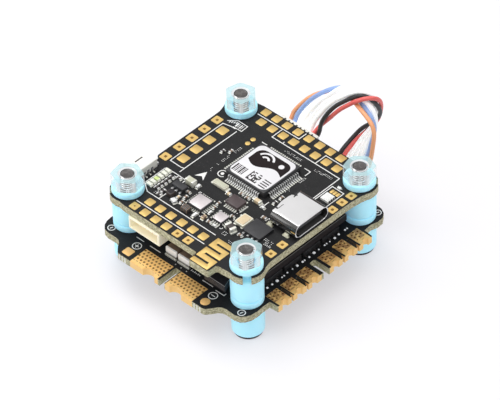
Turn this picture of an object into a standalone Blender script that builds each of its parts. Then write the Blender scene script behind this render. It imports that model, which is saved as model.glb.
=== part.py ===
# Two-board flight stack: flight controller (FC) over a four-in-one speed controller (ESC),
# on silicone grommets with M3 screws.  Scene in metres, dimensions in millimetres, +Z up.
# Origin: middle of the footprint (boards and cable), on the plane the four screw heads
# rest on.  The layout is written about the centre of the 30.5 mm hole pattern, and one
# parent empty moves it to that origin.
# +Y is the cable side, -Y the battery side, +X the USB side.
# In piece names, "front" means -Y, "back" +Y, "right" +X and "left" -X.
import math
from collections import namedtuple

import bmesh
import bpy
import numpy as np
from mathutils import Matrix

MM = 0.001

# ---- driving dimensions, millimetres -------------------------------------------------
HOLE = 15.25            # half of the 30.5 mm hole pattern
GAP = 0.03              # clearance between stacked pieces
BOARD_HOLE_R = 2.03
ORIGIN_Y = 3.86         # footprint middle, from the hole pattern's centre towards +Y

HEAD_H = 0.60           # screw head height
HEAD_R = 2.80
HEAD_SEAT_EDGE = 0.08   # chamfer on the shank side of the head
HEAD_FACE_EDGE = 0.10   # chamfer on the outer face of the head
SHANK_R = 1.475         # M3 thread outside radius, with clearance
SCREW_TOP = 20.30       # tip of the screw
SCREW_TIP_EDGE = 0.35
KEY_AF = 2.0            # hex key across flats
KEY_DEPTH = 1.6

ESC_BOT = 6.33          # underside of the speed controller board
ESC_TOP = ESC_BOT + 1.50
FC_TOP = 16.20
FC_BOT = FC_TOP - 1.60
FC_SEAT = FC_TOP + GAP          # where parts stand on the flight controller
FC_UNDER = FC_BOT - GAP         # where parts hang under it
ESC_SEAT = ESC_TOP + GAP        # where parts stand on the speed controller

GROMMET_R = 3.13
GROMMET_NECK_R = 1.93   # neck in a board hole
GROMMET_BORE_R = 1.62
GROMMET_EDGE = 0.22
FLANGE_H = 1.47         # grommet flange above each board
GROMMET_SEAM = ESC_SEAT + FLANGE_H
NUT_SEAT = FC_SEAT + FLANGE_H
NUT_AF = 5.5
NUT_BORE_R = 1.56
NUT_H = 2.55
ROUND_STEPS = 20        # segments round screws, grommets, nut bores and board holes

# name, x sign, y sign, turn of the nut in degrees
CORNERS = (("front_right", 1, -1, -8.0), ("back_right", 1, 1, 27.0),
           ("back_left", -1, 1, 0.0), ("front_left", -1, -1, 25.0))

# ---- finishes ------------------------------------------------------------------------
Finish = namedtuple("Finish", "name rgb roughness metallic", defaults=(0.0,))

BLACK_BOARD = Finish("solder_mask_black", (0.030, 0.031, 0.033), roughness=0.45)
SILICONE = Finish("silicone_blue", (0.30, 0.72, 0.90), roughness=0.45)
CLEAR = Finish("clear_nut_plastic", (0.75, 0.93, 0.98), roughness=0.12)
STEEL = Finish("screw_steel", (0.40, 0.40, 0.41), roughness=0.30, metallic=1.0)
# the number is part of this material's name
SHELL = Finish("usb_shell_steel.001", (0.72, 0.72, 0.73), roughness=0.22, metallic=1.0)
CREAM = Finish("connector_cream", (0.84, 0.75, 0.55), roughness=0.45)
WHITE = Finish("connector_white", (0.85, 0.84, 0.80), roughness=0.45)
CHIP = Finish("chip_epoxy", (0.028, 0.028, 0.030), roughness=0.40)
BEIGE = Finish("ceramic_beige", (0.62, 0.55, 0.42), roughness=0.45)
DARK_PLATE = Finish("anodised_plate", (0.05, 0.05, 0.055), roughness=0.40, metallic=1.0)
PAD = Finish("thermal_pad", (0.25, 0.27, 0.32), roughness=0.85)
CAPACITOR = Finish("capacitor_ceramic", (0.22, 0.17, 0.14), roughness=0.50)

# ---- empty scene ---------------------------------------------------------------------
for ob in list(bpy.data.objects):
    bpy.data.objects.remove(ob, do_unlink=True)

PIECES = bpy.data.collections.new("flight_controller_board")
CUTTERS = bpy.data.collections.new("cutters")
for collection in (PIECES, CUTTERS):
    bpy.context.scene.collection.children.link(collection)


# ---- helpers -------------------------------------------------------------------------
def add_material(ob, finish):
    """Give the object its own material, named after both."""
    mat = bpy.data.materials.new(ob.name + "_" + finish.name)
    mat.use_nodes = True
    shader = mat.node_tree.nodes["Principled BSDF"]
    shader.inputs["Base Color"].default_value = (*finish.rgb, 1.0)
    shader.inputs["Roughness"].default_value = finish.roughness
    shader.inputs["Metallic"].default_value = finish.metallic
    ob.data.materials.clear()
    ob.data.materials.append(mat)


def smooth(ob, angle):
    """Shade smooth, but for edges sharper than the angle in degrees."""
    ob.data.shade_smooth()
    ob.data.set_sharp_from_angle(angle=math.radians(angle))


def place(ob, finish):
    """File the object as a piece, or as a hidden boolean helper if it has no finish."""
    if finish:
        PIECES.objects.link(ob)
        add_material(ob, finish)
    else:
        CUTTERS.objects.link(ob)
        ob.hide_render = True
        ob.display_type = 'WIRE'


def box(name, x_span, y_span, z_span, finish=None, bevel=0.0):
    """Box between pairs of planes, origin at its centre."""
    spans = (x_span, y_span, z_span)
    me = bpy.data.meshes.new(name)
    bm = bmesh.new()
    bmesh.ops.create_cube(bm, size=1.0)
    bmesh.ops.scale(bm, vec=[(hi - lo) * MM for lo, hi in spans], verts=bm.verts)
    bm.to_mesh(me)
    bm.free()
    ob = bpy.data.objects.new(name, me)
    ob.location = [(lo + hi) / 2 * MM for lo, hi in spans]
    place(ob, finish)
    if bevel:
        edge = ob.modifiers.new("edge", 'BEVEL')
        edge.width = bevel * MM
        edge.segments = 1
        edge.limit_method = 'ANGLE'
        smooth(ob, 35)
    return ob


def filled_outline(name, loops, thickness):
    """Curve object, filled between the loops and extruded about z = 0."""
    cu = bpy.data.curves.new(name, 'CURVE')
    cu.dimensions = '2D'
    cu.fill_mode = 'BOTH'
    cu.extrude = thickness / 2 * MM
    cu.resolution_u = 1
    for loop in loops:
        spline = cu.splines.new('POLY')
        spline.points.add(len(loop) - 1)
        for point, (x, y) in zip(spline.points, loop):
            point.co = (x * MM, y * MM, 0.0, 1.0)
        spline.use_cyclic_u = True
    return bpy.data.objects.new(name + "_outline", cu)


def even_out(bm, level):
    """Retriangulate the flat face at this height, so no sliver joins points in line."""
    def in_plane(face):
        return all(abs(v.co.z - level) < 1e-7 for v in face.verts)

    flat = [face for face in bm.faces if in_plane(face)]
    edges = {edge for face in flat for edge in face.edges}
    inner = [edge for edge in edges if all(in_plane(face) for face in edge.link_faces)]
    bmesh.ops.beautify_fill(bm, faces=flat, edges=inner)


def plate(name, loops, z0, z1, finish=None):
    """Flat plate from closed outlines (the first one outside, the rest holes)."""
    outline = filled_outline(name, loops, z1 - z0)
    outline.location = (0.0, 0.0, (z0 + z1) / 2 * MM)
    bpy.context.scene.collection.objects.link(outline)
    bpy.context.view_layer.update()
    depsgraph = bpy.context.evaluated_depsgraph_get()
    me = bpy.data.meshes.new_from_object(outline.evaluated_get(depsgraph))
    bm = bmesh.new()
    bm.from_mesh(me)
    bmesh.ops.remove_doubles(bm, verts=bm.verts, dist=1e-6)
    for level in ((z1 - z0) / 2 * MM, (z0 - z1) / 2 * MM):
        even_out(bm, level)
    bmesh.ops.recalc_face_normals(bm, faces=bm.faces)
    bm.to_mesh(me)
    bm.free()
    ob = bpy.data.objects.new(name, me)
    ob.matrix_world = outline.matrix_world.copy()
    bpy.data.objects.remove(outline, do_unlink=True)
    place(ob, finish)
    return ob


def lathe(name, profile, x, y, finish, closed):
    """Turned solid: profile of (radius, z) running down its outer side, turned about Z."""
    verts = [(r * MM, 0.0, z * MM) for r, z in profile]
    edges = [(i, i + 1) for i in range(len(verts) - 1)]
    if closed:
        edges.append((len(verts) - 1, 0))
    me = bpy.data.meshes.new(name)
    me.from_pydata(verts, edges, [])
    ob = bpy.data.objects.new(name, me)
    ob.location = (x * MM, y * MM, 0.0)
    place(ob, finish)
    turn = ob.modifiers.new("turn", 'SCREW')
    turn.axis = 'Z'
    turn.angle = 2 * math.pi
    turn.steps = ROUND_STEPS
    turn.render_steps = ROUND_STEPS
    turn.use_merge_vertices = True
    turn.merge_threshold = 0.000002
    turn.use_smooth_shade = True
    return ob


def boolean(ob, other, operation):
    modifier = ob.modifiers.new(operation.lower(), 'BOOLEAN')
    modifier.operation = operation
    modifier.object = other


def arc(cx, cy, radius, start, end, n):
    """Points on a circle from one angle to another in degrees, n segments."""
    angles = [math.radians(start + (end - start) * i / n) for i in range(n + 1)]
    return [(cx + radius * math.cos(a), cy + radius * math.sin(a)) for a in angles]


def circle(cx, cy, radius, n=ROUND_STEPS):
    return arc(cx, cy, radius, 0, 360, n)[:-1]


def mirrored(loop):
    """Outline mirrored in x, still running the same way round."""
    return [(-x, y) for x, y in reversed(loop)]


# ---- flight controller board ---------------------------------------------------------
CORNER_R = 3.55
CORNER_SWEEP = 62       # degrees of corner arc each side of the diagonal
SLOT_HALF = 0.78        # half width of the diagonal corner slots

# Board edges between the corners, (x, y), counter-clockwise
FC_FRONT_EDGE = [       # -Y edge, with the stepped tab
    (-12.8, -18.85), (5.9, -18.85), (6.15, -19.3), (6.15, -20.9), (6.4, -21.15),
    (10.85, -21.15), (11.1, -20.9), (11.15, -19.2), (11.5, -18.85), (12.6, -18.8)]
FC_RIGHT_EDGE = [
    (18.15, -13.2), (17.8, -11.9), (17.75, -10.5), (17.75, 8.0), (17.85, 10.2),
    (18.1, 12.4), (18.45, 13.8)]
FC_BACK_EDGE = [(12.6, 18.85), (-12.6, 18.85)]
FC_LEFT_EDGE = [        # stepped in behind the side connector
    (-18.35, 13.6), (-17.95, 12.2), (-17.9, 10.8), (-17.9, -4.6), (-17.65, -5.0),
    (-17.15, -5.3), (-17.1, -11.2), (-17.4, -12.2), (-18.1, -13.1)]


def slotted_corner(sx, sy):
    """Corner arc about a mounting hole, open to the hole through a diagonal slot."""
    middle = math.degrees(math.atan2(sy, sx))
    outer_half = math.degrees(math.asin(SLOT_HALF / CORNER_R))
    inner_half = math.degrees(math.asin(SLOT_HALF / BOARD_HOLE_R))
    cx, cy = sx * HOLE, sy * HOLE
    return (arc(cx, cy, CORNER_R, middle - CORNER_SWEEP, middle - outer_half, 5) +
            arc(cx, cy, BOARD_HOLE_R, middle - inner_half, middle + inner_half - 360, 16) +
            arc(cx, cy, CORNER_R, middle + outer_half, middle + CORNER_SWEEP, 5))


fc_outline = (FC_FRONT_EDGE + slotted_corner(1, -1) + FC_RIGHT_EDGE + slotted_corner(1, 1) +
              FC_BACK_EDGE + slotted_corner(-1, 1) + FC_LEFT_EDGE + slotted_corner(-1, -1))
plate("fc_board", [fc_outline], FC_BOT, FC_TOP, BLACK_BOARD)

# ---- speed controller board ----------------------------------------------------------
# y span of each motor pad, the same on both sides
MOTOR_PADS = ((-12.60, -9.70), (-8.67, -5.70), (-4.56, -1.80),
              (1.34, 4.05), (5.30, 8.10), (9.40, 12.20))
FINGER_X = 20.9         # tips of the motor fingers
NOTCH_R = 0.70          # half-round notch in each fingertip
FINGER_SLOT_X = 18.0    # bottom of the slots between fingers
FINGER_SLOT_HALF = 0.25
WIDE_GAP = 2.0          # pads further apart than this have the deep recess between them

BATTERY_PADS = ((-7.8, -0.7, -3.0), (1.3, 8.15, 3.9))      # x0, x1, x of the round bite
BATTERY_PAD_Y = (-22.55, -18.4)
BITE_R = 1.62
BITE_Y = -23.32
BITE_ANGLE = 22.5       # where the bite meets the board edge, degrees
PAD_BITE_ANGLE = 25.63  # where it meets the pad edge

PAD_MARGIN = 0.16       # plating stands back this far from bites and notches
PAD_INNER_X = 17.3
PAD_TIP_X = FINGER_X - 0.15
PAD_NOTCH_HALF = 0.84   # half width of the notch at the pad's end
PAD_ROOT = 0.4          # how far the plating reaches into the board
PAD_UP = 0.06           # how far it stands above

# Right-hand edge, (x, y), before and after the motor fingers
ESC_RIGHT_FRONT = [
    (12.3, -21.4), (12.8, -20.6), (13.5, -20.1), (14.3, -19.95), (16.4, -20.0),
    (17.5, -19.7), (18.3, -18.9), (18.75, -17.9), (18.9, -16.6), (18.8, -14.9)]
ESC_RIGHT_BACK = [
    (18.6, 14.6), (19.05, 16.2), (18.95, 17.6), (18.2, 18.7), (17.2, 19.25), (16.2, 19.4)]


def finger_gap(y0, y1):
    """Edge between two pads: a narrow slot, or the deep recess in the wide gap."""
    if y1 - y0 > WIDE_GAP:
        return [(FINGER_X, y0 + 1.0), (17.5, y0 + 1.0), (17.2, y0 + 1.25),
                (17.2, y1 - 0.90), (17.5, y1 - 0.65), (FINGER_X, y1 - 0.65)]
    low = (y0 + y1) / 2 - FINGER_SLOT_HALF
    high = (y0 + y1) / 2 + FINGER_SLOT_HALF
    return [(FINGER_X, low), (FINGER_SLOT_X, low), (FINGER_SLOT_X, high), (FINGER_X, high)]


def motor_side():
    """Right-hand edge past the six fingers, from -Y to +Y."""
    points = [(18.85, -13.15), (FINGER_X - 0.15, -13.0), (FINGER_X, -12.85)]
    for i, (y0, y1) in enumerate(MOTOR_PADS):
        if i > 0:
            points += finger_gap(MOTOR_PADS[i - 1][1], y0)
        points += [(FINGER_X, y0 + 0.1)]
        points += arc(FINGER_X, (y0 + y1) / 2, NOTCH_R, -90, -270, 6)
        points += [(FINGER_X, y1 - 0.1)]
    return points + [(FINGER_X, 12.45), (FINGER_X - 0.15, 12.6), (18.75, 12.75)]


def esc_outline():
    right = ESC_RIGHT_FRONT + motor_side() + ESC_RIGHT_BACK
    left_bite, right_bite = [arc(bite_x, BITE_Y, BITE_R, 180 - BITE_ANGLE, BITE_ANGLE, 7)
                             for _, _, bite_x in BATTERY_PADS]
    slot = [(-0.25, -22.7), (-0.25, -18.3), (1.10, -18.3), (1.10, -22.7)]
    front = ([(-11.3, -22.5), (-10.9, -22.7)] + left_bite + slot + right_bite +
             [(10.9, -22.7), (11.4, -22.5)])
    return front + right + mirrored(right)


def battery_pad(x0, x1, bite_x):
    y0, y1 = BATTERY_PAD_Y
    bite = arc(bite_x, BITE_Y, BITE_R + PAD_MARGIN, 180 - PAD_BITE_ANGLE, PAD_BITE_ANGLE, 7)
    return [(x0, y0)] + bite + [(x1, y0), (x1, y1), (x0, y1)]


def motor_pad(y0, y1):
    """Right-hand motor pad, notched at the fingertip."""
    middle = (y0 + y1) / 2
    return ([(PAD_INNER_X, y0), (PAD_TIP_X, y0), (PAD_TIP_X, middle - PAD_NOTCH_HALF)] +
            arc(FINGER_X, middle, NOTCH_R + PAD_MARGIN, 260, 100, 5) +
            [(PAD_TIP_X, middle + PAD_NOTCH_HALF), (PAD_TIP_X, y1), (PAD_INNER_X, y1)])


holes = [circle(sx * HOLE, sy * HOLE, BOARD_HOLE_R) for _, sx, sy, _ in CORNERS]
esc_board = plate("esc_board", [esc_outline()] + holes, ESC_BOT, ESC_TOP, BLACK_BOARD)

pads = [battery_pad(*pad) for pad in BATTERY_PADS]
for span in MOTOR_PADS:
    pads += [motor_pad(*span), mirrored(motor_pad(*span))]
plating = plate("esc_pad_plating", pads, ESC_TOP - PAD_ROOT, ESC_TOP + PAD_UP)
boolean(esc_board, plating, 'UNION')


# ---- screws, nuts, grommets ----------------------------------------------------------
def add_screw(corner, x, y):
    """Head down: flat head resting on z = 0, shank up through both boards."""
    profile = [(0.0, SCREW_TOP), (SHANK_R - SCREW_TIP_EDGE, SCREW_TOP),
               (SHANK_R, SCREW_TOP - SCREW_TIP_EDGE), (SHANK_R, HEAD_H),
               (HEAD_R - HEAD_SEAT_EDGE, HEAD_H), (HEAD_R, HEAD_H - HEAD_SEAT_EDGE),
               (HEAD_R, HEAD_FACE_EDGE), (HEAD_R - HEAD_FACE_EDGE, 0.0), (0.0, 0.0)]
    screw = lathe("screw_" + corner, profile, x, y, STEEL, closed=False)

    key_radius = KEY_AF / math.sqrt(3) * MM
    me = bpy.data.meshes.new("key_" + corner)
    bm = bmesh.new()
    bmesh.ops.create_cone(bm, cap_ends=True, segments=6, radius1=key_radius,
                          radius2=key_radius, depth=2 * KEY_DEPTH * MM)
    bm.to_mesh(me)
    bm.free()
    key = bpy.data.objects.new("key_" + corner, me)
    key.location = (x * MM, y * MM, 0.0)
    place(key, None)
    boolean(screw, key, 'DIFFERENCE')


def add_nut(corner, x, y, turn):
    """Hexagonal prism with a round bore."""
    hexagon = arc(0, 0, NUT_AF / math.sqrt(3), 135 + turn, 495 + turn, 6)[:-1]
    z0 = NUT_SEAT + GAP
    nut = plate("nut_" + corner, [hexagon, circle(0, 0, NUT_BORE_R)], z0, z0 + NUT_H, CLEAR)
    nut.location.x = x * MM
    nut.location.y = y * MM


def add_grommet(name, x, y, bottom, neck_bottom, neck_top, top):
    """Lower column, neck through the board, flange above it."""
    rim = GROMMET_R - GROMMET_EDGE
    profile = [(rim, top), (GROMMET_R, top - GROMMET_EDGE),
               (GROMMET_R, neck_top + GROMMET_EDGE), (rim, neck_top),
               (GROMMET_NECK_R, neck_top), (GROMMET_NECK_R, neck_bottom),
               (rim, neck_bottom), (GROMMET_R, neck_bottom - GROMMET_EDGE),
               (GROMMET_R, bottom + GROMMET_EDGE), (rim, bottom),
               (GROMMET_BORE_R, bottom), (GROMMET_BORE_R, top)]
    lathe(name, profile, x, y, SILICONE, closed=True)


for corner, sx, sy, turn in CORNERS:
    x, y = sx * HOLE, sy * HOLE
    add_screw(corner, x, y)
    add_nut(corner, x, y, turn)
    add_grommet("esc_grommet_" + corner, x, y,
                HEAD_H + GAP, ESC_BOT - GAP, ESC_SEAT, GROMMET_SEAM)
    add_grommet("fc_grommet_" + corner, x, y,
                GROMMET_SEAM + GAP, FC_UNDER, FC_SEAT, NUT_SEAT)

# ---- parts on top of the flight controller -------------------------------------------
# name, x span, y span, bottom and top above the board, finish, bevel
FC_PARTS = (
    ("mcu", (-4.7, 5.3), (-0.1, 9.9), 0.08, 1.45, CHIP, 0.12),
    ("motion_sensor", (0.85, 4.05), (-5.95, -3.45), GAP, 0.90, CHIP, 0.05),
    ("video_chip", (-4.25, -0.65), (-10.9, -7.3), GAP, 0.75, CHIP, 0.04),
    ("radio_chip", (2.05, 4.45), (-10.75, -8.35), GAP, 0.70, CHIP, 0.04),
    ("memory_chip", (8.30, 12.65), (-9.15, -5.25), GAP, 0.62, CHIP, 0.05),
    ("crystal_main", (5.78, 8.05), (-8.65, -5.75), GAP, 0.80, BEIGE, 0.12),
    ("crystal_small", (-4.75, -1.5), (-3.6, -2.3), GAP, 0.75, BEIGE, 0.08),
    ("filter_capacitor", (-8.65, -6.55), (-6.95, -5.65), GAP, 1.25, BEIGE, 0.08))
for name, x_span, y_span, bottom, top, finish, bevel in FC_PARTS:
    box(name, x_span, y_span, (FC_TOP + bottom, FC_TOP + top), finish, bevel)

# ---- USB-C receptacle: shell open at both ends, round the tongue moulding ------------
USB_X0 = 10.9           # inner end
USB_X1 = 17.40          # mouth
USB_Y = -0.05
USB_HALF_W = 8.94 / 2
USB_H = 3.16
USB_Z = FC_SEAT + USB_H / 2
USB_R = 1.45            # outer corner radius of the shell
USB_WALL = 0.30
TONGUE_INSET = USB_WALL + 0.04      # moulding inside the shell's outer face
TONGUE_R = 1.10
BLADE_HALF_W = 3.345
BLADE_HALF_T = 0.35
# turns a plate's own Z to +X and its own X to +Y
TURN = Matrix(((0, 0, 1, 0), (1, 0, 0, 0), (0, 1, 0, 0), (0, 0, 0, 1)))


def usb_section(inset, radius):
    """The shell's rounded rectangle, inset, centred in the local XY plane."""
    cx = USB_HALF_W - inset - radius
    cy = USB_H / 2 - inset - radius
    points = []
    for i, (sx, sy) in enumerate(((1, 1), (-1, 1), (-1, -1), (1, -1))):
        points += arc(sx * cx, sy * cy, radius, 90 * i, 90 * i + 90, 5)
    return points


def usb_piece(name, loops, x0, x1, finish):
    ob = plate(name, loops, x0, x1, finish)
    ob.matrix_world = (Matrix.Translation((0, USB_Y * MM, USB_Z * MM)) @ TURN @
                       Matrix.Translation((0, 0, (x0 + x1) / 2 * MM)))
    return ob


shell_loops = [usb_section(0.0, USB_R), usb_section(USB_WALL, USB_R - USB_WALL)]
smooth(usb_piece("usb_c_shell", shell_loops, USB_X0, USB_X1, SHELL), 30)
tongue = usb_piece("usb_c_tongue", [usb_section(TONGUE_INSET, TONGUE_R)],
                   USB_X0 + 0.05, USB_X0 + 1.75, CHIP)
blade = box("usb_blade", (USB_X0 + 1.2, USB_X1 - 0.75),
            (USB_Y - BLADE_HALF_W, USB_Y + BLADE_HALF_W),
            (USB_Z - BLADE_HALF_T, USB_Z + BLADE_HALF_T))
boolean(tongue, blade, 'UNION')

# ---- side-entry wire connectors ------------------------------------------------------
PITCH = 1.0
SOCKET_ENDS = 3.0       # socket width beyond its row of ways
SOCKET_DEPTH = 4.25
SOCKET_H = 2.90
MOUTH_DEPTH = 3.35
MOUTH_SIDE = 0.5        # walls beside the mouth
MOUTH_FLOOR = 0.45      # walls above and below it


def socket(name, ways, mouth_x, mouth_y, turn, z0, finish, height=SOCKET_H):
    """Header for a flat wire plug, its mouth facing local -Y before the turn.
    mouth_x, mouth_y: centre of the mouth line; z0: underside.  Returns its mid height."""
    half = (PITCH * (ways - 1) + SOCKET_ENDS) / 2
    body = box(name, (-half, half), (0.0, SOCKET_DEPTH), (z0, z0 + height), finish, 0.12)
    mouth = box(name + "_mouth", (-half + MOUTH_SIDE, half - MOUTH_SIDE), (-0.5, MOUTH_DEPTH),
                (z0 + MOUTH_FLOOR, z0 + height - MOUTH_FLOOR))
    boolean(body, mouth, 'DIFFERENCE')
    frame = (Matrix.Translation((mouth_x * MM, mouth_y * MM, 0.0)) @
             Matrix.Rotation(math.radians(turn), 4, 'Z'))
    for ob in (body, mouth):
        ob.matrix_world = frame @ Matrix.Translation(ob.location)
    return z0 + height / 2


WAYS = 8                # of the cable between the boards
FC_PLUG_X = -5.3
ESC_PLUG_X = 6.25
CABLE_MOUTH_Y = 19.55
PLUG_HALF_W = 8.8 / 2
PLUG_HALF_H = 1.80 / 2
PLUG_Y = (16.75, 21.30)

HANGING_Z = FC_UNDER - SOCKET_H
socket("side_connector", 3, -19.85, -9.50, -90, FC_SEAT, WHITE, height=2.05)
socket("front_connector", 6, -7.45, -19.15, 0, HANGING_Z, CREAM)
FC_PLUG_Z = socket("fc_cable_socket", WAYS, FC_PLUG_X, CABLE_MOUTH_Y, 180, HANGING_Z, CREAM)
ESC_PLUG_Z = socket("esc_cable_socket", WAYS, ESC_PLUG_X, CABLE_MOUTH_Y, 180, ESC_SEAT, CREAM)
for name, x, z in (("fc_cable_plug", FC_PLUG_X, FC_PLUG_Z),
                   ("esc_cable_plug", ESC_PLUG_X, ESC_PLUG_Z)):
    box(name, (x - PLUG_HALF_W, x + PLUG_HALF_W), PLUG_Y,
        (z - PLUG_HALF_H, z + PLUG_HALF_H), WHITE, 0.12)

# ---- eight-wire cable ----------------------------------------------------------------
# Two guide paths, for the first wire and the last; the wires between are spread over
# them and then pushed apart until they clear one another.
WIRE_R = 0.40
WIRE_SPACING = 0.98     # least distance between wire centres
SPREAD_ROUNDS = 150
SETTLE_ROUNDS = 20      # last rounds, with less smoothing
HELD = 3                # points held still at each end while spreading
ROW_HALF = (WAYS - 1) * PITCH / 2
START_Y = PLUG_Y[1] + 0.05
BEND_Y = START_Y + 0.95

# (x, y, z) stations from the flight controller plug to the speed controller plug
GUIDE_FIRST = np.array([
    (FC_PLUG_X - ROW_HALF, START_Y, FC_PLUG_Z), (FC_PLUG_X - ROW_HALF, BEND_Y, FC_PLUG_Z),
    (-8.50, 23.1, FC_TOP - 1.4), (-5.58, 25.2, FC_TOP + 2.48), (-0.06, 26.8, FC_TOP + 6.07),
    (5.97, 25.8, FC_TOP + 7.02), (10.55, 24.4, FC_TOP + 5.15), (11.20, 23.4, FC_TOP + 0.93),
    (10.20, 23.2, ESC_PLUG_Z + 2.2), (ESC_PLUG_X + ROW_HALF, BEND_Y, ESC_PLUG_Z + 0.05),
    (ESC_PLUG_X + ROW_HALF, START_Y, ESC_PLUG_Z)])
GUIDE_LAST = np.array([
    (FC_PLUG_X + ROW_HALF, START_Y, FC_PLUG_Z), (FC_PLUG_X + ROW_HALF, BEND_Y, FC_PLUG_Z),
    (-1.08, 23.4, FC_TOP + 0.38), (1.96, 24.6, FC_TOP + 5.18), (5.80, 26.0, FC_TOP + 8.53),
    (7.41, 28.4, FC_TOP + 6.68), (6.58, 29.6, FC_TOP + 1.38), (3.52, 27.6, FC_TOP - 3.18),
    (2.85, 24.2, ESC_PLUG_Z + 1.7), (ESC_PLUG_X - ROW_HALF, BEND_Y, ESC_PLUG_Z + 0.05),
    (ESC_PLUG_X - ROW_HALF, START_Y, ESC_PLUG_Z)])
# bulge of the middle wires at each station, along LIFT_DIRECTION
LIFT = (0, 0, 0, 0.3, 0.6, 0.6, 0.2, 0, 0, 0, 0)
LIFT_DIRECTION = np.array([0, 0.2, 0.9])
# place in the row at each station: red and black change places twice along the loop
PLACES = {6: (6, 6, 6.9, 7.3, 7.1, 7.0, 7.0, 6.6, 6.2, 6, 6),
          7: (7, 7, 6.8, 6.1, 6.0, 6.2, 6.4, 6.9, 7, 7, 7)}
WHITE_WIRE = (0.85, 0.85, 0.85)
WIRES = (("wire_orange", (0.90, 0.33, 0.10)), ("wire_blue", (0.20, 0.33, 0.80)),
         ("wire_white_1", WHITE_WIRE), ("wire_white_2", WHITE_WIRE),
         ("wire_white_3", WHITE_WIRE), ("wire_white_4", WHITE_WIRE),
         ("wire_red", (0.80, 0.06, 0.07)), ("wire_black", (0.02, 0.02, 0.02)))


def wire_guide(k):
    """Stations of wire k, between the two guide paths."""
    points = []
    for i, (first, last) in enumerate(zip(GUIDE_FIRST, GUIDE_LAST)):
        t = (PLACES[k][i] if k in PLACES else k) / (WAYS - 1)
        bulge = LIFT_DIRECTION * LIFT[i] * math.sin(math.pi * min(t, 1.0))
        points.append(first + (last - first) * t + bulge)
    return points


def smooth_path(points, steps):
    """Catmull-Rom curve through the points."""
    path = []
    last = len(points) - 1
    for i in range(last):
        a, b, c, d = (points[min(max(j, 0), last)] for j in range(i - 1, i + 3))
        for step in range(steps):
            u = step / steps
            path.append(0.5 * (2 * b + (c - a) * u + (2 * a - 5 * b + 4 * c - d) * u * u +
                               (3 * b - a - 3 * c + d) * u ** 3))
    path.append(points[-1])
    return np.array(path)


def even(path, n):
    """The path as n points evenly spaced along its length."""
    lengths = np.linalg.norm(np.diff(path, axis=0), axis=1)
    along = np.concatenate([[0], np.cumsum(lengths)])
    stations = np.linspace(0, along[-1], n)
    return np.stack([np.interp(stations, along, path[:, axis]) for axis in range(3)], 1)


def push_apart(one, other):
    """Move the points of two wires that are too close, but for the held ends."""
    between = one[:, None] - other[None]
    distance = np.linalg.norm(between, axis=2)
    for p, q in zip(*np.where(distance < WIRE_SPACING)):
        apart = distance[p, q]
        push = between[p, q] / max(apart, 1e-6) * (WIRE_SPACING - apart) * 0.3
        if HELD <= p < len(one) - HELD:
            one[p] += push
        if HELD <= q < len(other) - HELD:
            other[q] -= push


def spread(guides):
    """Push the wires apart, smoothing their shifts from the guides in every round."""
    wires = [guide.copy() for guide in guides]
    for k in range(SPREAD_ROUNDS):
        for a in range(len(wires)):
            for b in range(a + 1, len(wires)):
                push_apart(wires[a], wires[b])
        blend = 0.3 if k < SPREAD_ROUNDS - SETTLE_ROUNDS else 0.05
        for wire, guide in zip(wires, guides):
            shift = wire - guide
            neighbours = shift[HELD - 1:-HELD - 1] + shift[HELD + 1:-HELD + 1]
            shift[HELD:-HELD] = shift[HELD:-HELD] * (1 - blend) + blend * 0.5 * neighbours
            wire[:] = guide + shift
    return wires


def add_wire(name, rgb, path):
    # each end leaves its plug square to the plug's face
    for end, neighbour in ((0, 1), (-1, -2)):
        path[neighbour] = path[end] + np.array([0.0, 0.75, 0.0])
    cu = bpy.data.curves.new(name, 'CURVE')
    cu.dimensions = '3D'
    cu.bevel_depth = WIRE_R * MM
    cu.bevel_resolution = 2
    cu.use_fill_caps = True
    cu.resolution_u = 1
    cu.render_resolution_u = 0
    spline = cu.splines.new('POLY')
    spline.points.add(len(path) - 1)
    for point, (x, y, z) in zip(spline.points, path):
        point.co = (x * MM, y * MM, z * MM, 1.0)
    place(bpy.data.objects.new(name, cu), Finish("insulation", rgb, roughness=0.4))


guides = [even(smooth_path(wire_guide(k), 16), 72) for k in range(WAYS)]
for (name, rgb), path in zip(WIRES, spread(guides)):
    add_wire(name, rgb, even(path, 36))

# ---- parts on top of the speed controller --------------------------------------------
TRANSISTOR_W = 5.05     # along x
TRANSISTOR_L = 4.6      # along y
TRANSISTOR_H = 1.0
ROW_Y = -10.55          # start of the first row
ROW_PITCH = 5.15
# inner x, row, bevel: four in the outer column, two in the inner
TRANSISTORS = ([(10.3, row, 0.06) for row in range(4)] +
               [(4.0, row, 0.0) for row in (1, 2)])
for sign, side in ((1, "right"), (-1, "left")):
    for number, (inner_x, row, bevel) in enumerate(TRANSISTORS, 1):
        y0 = ROW_Y + row * ROW_PITCH
        box("transistor_%s_%d" % (side, number),
            sorted((sign * inner_x, sign * (inner_x + TRANSISTOR_W))),
            (y0, y0 + TRANSISTOR_L), (ESC_SEAT, ESC_SEAT + TRANSISTOR_H), CHIP, bevel)

for number, x_span in ((1, (-4.2, -1.5)), (2, (-1.0, 1.9))):
    box("power_capacitor_%d" % number, x_span, (-16.9, -13.6),
        (ESC_SEAT, ESC_SEAT + 2.0), CAPACITOR, 0.15)


def spreader_outline(i):
    """Heat spreader outline, cleared round the columns, inset by i."""
    return [(6.9 + i, -18.0 + i), (12.2 - i, -18.0 + i), (11.6 - i, -16.5),
            (11.6 - i, -12.6 + i * 0.5), (12.6 - i * 0.5, -11.5 + i),
            (15.4 - i, -11.5 + i), (15.4 - i, 11.5 - i), (11.6 - i, 11.5 - i),
            (11.6 - i, 14.6 - i), (-11.6 + i, 14.6 - i), (-11.6 + i, 11.5 - i),
            (-15.4 + i, 11.5 - i), (-15.4 + i, -11.5 + i), (-12.0 + i, -11.5 + i),
            (-12.0 + i, -12.9 + i), (6.9 + i, -12.9 + i)]


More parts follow.
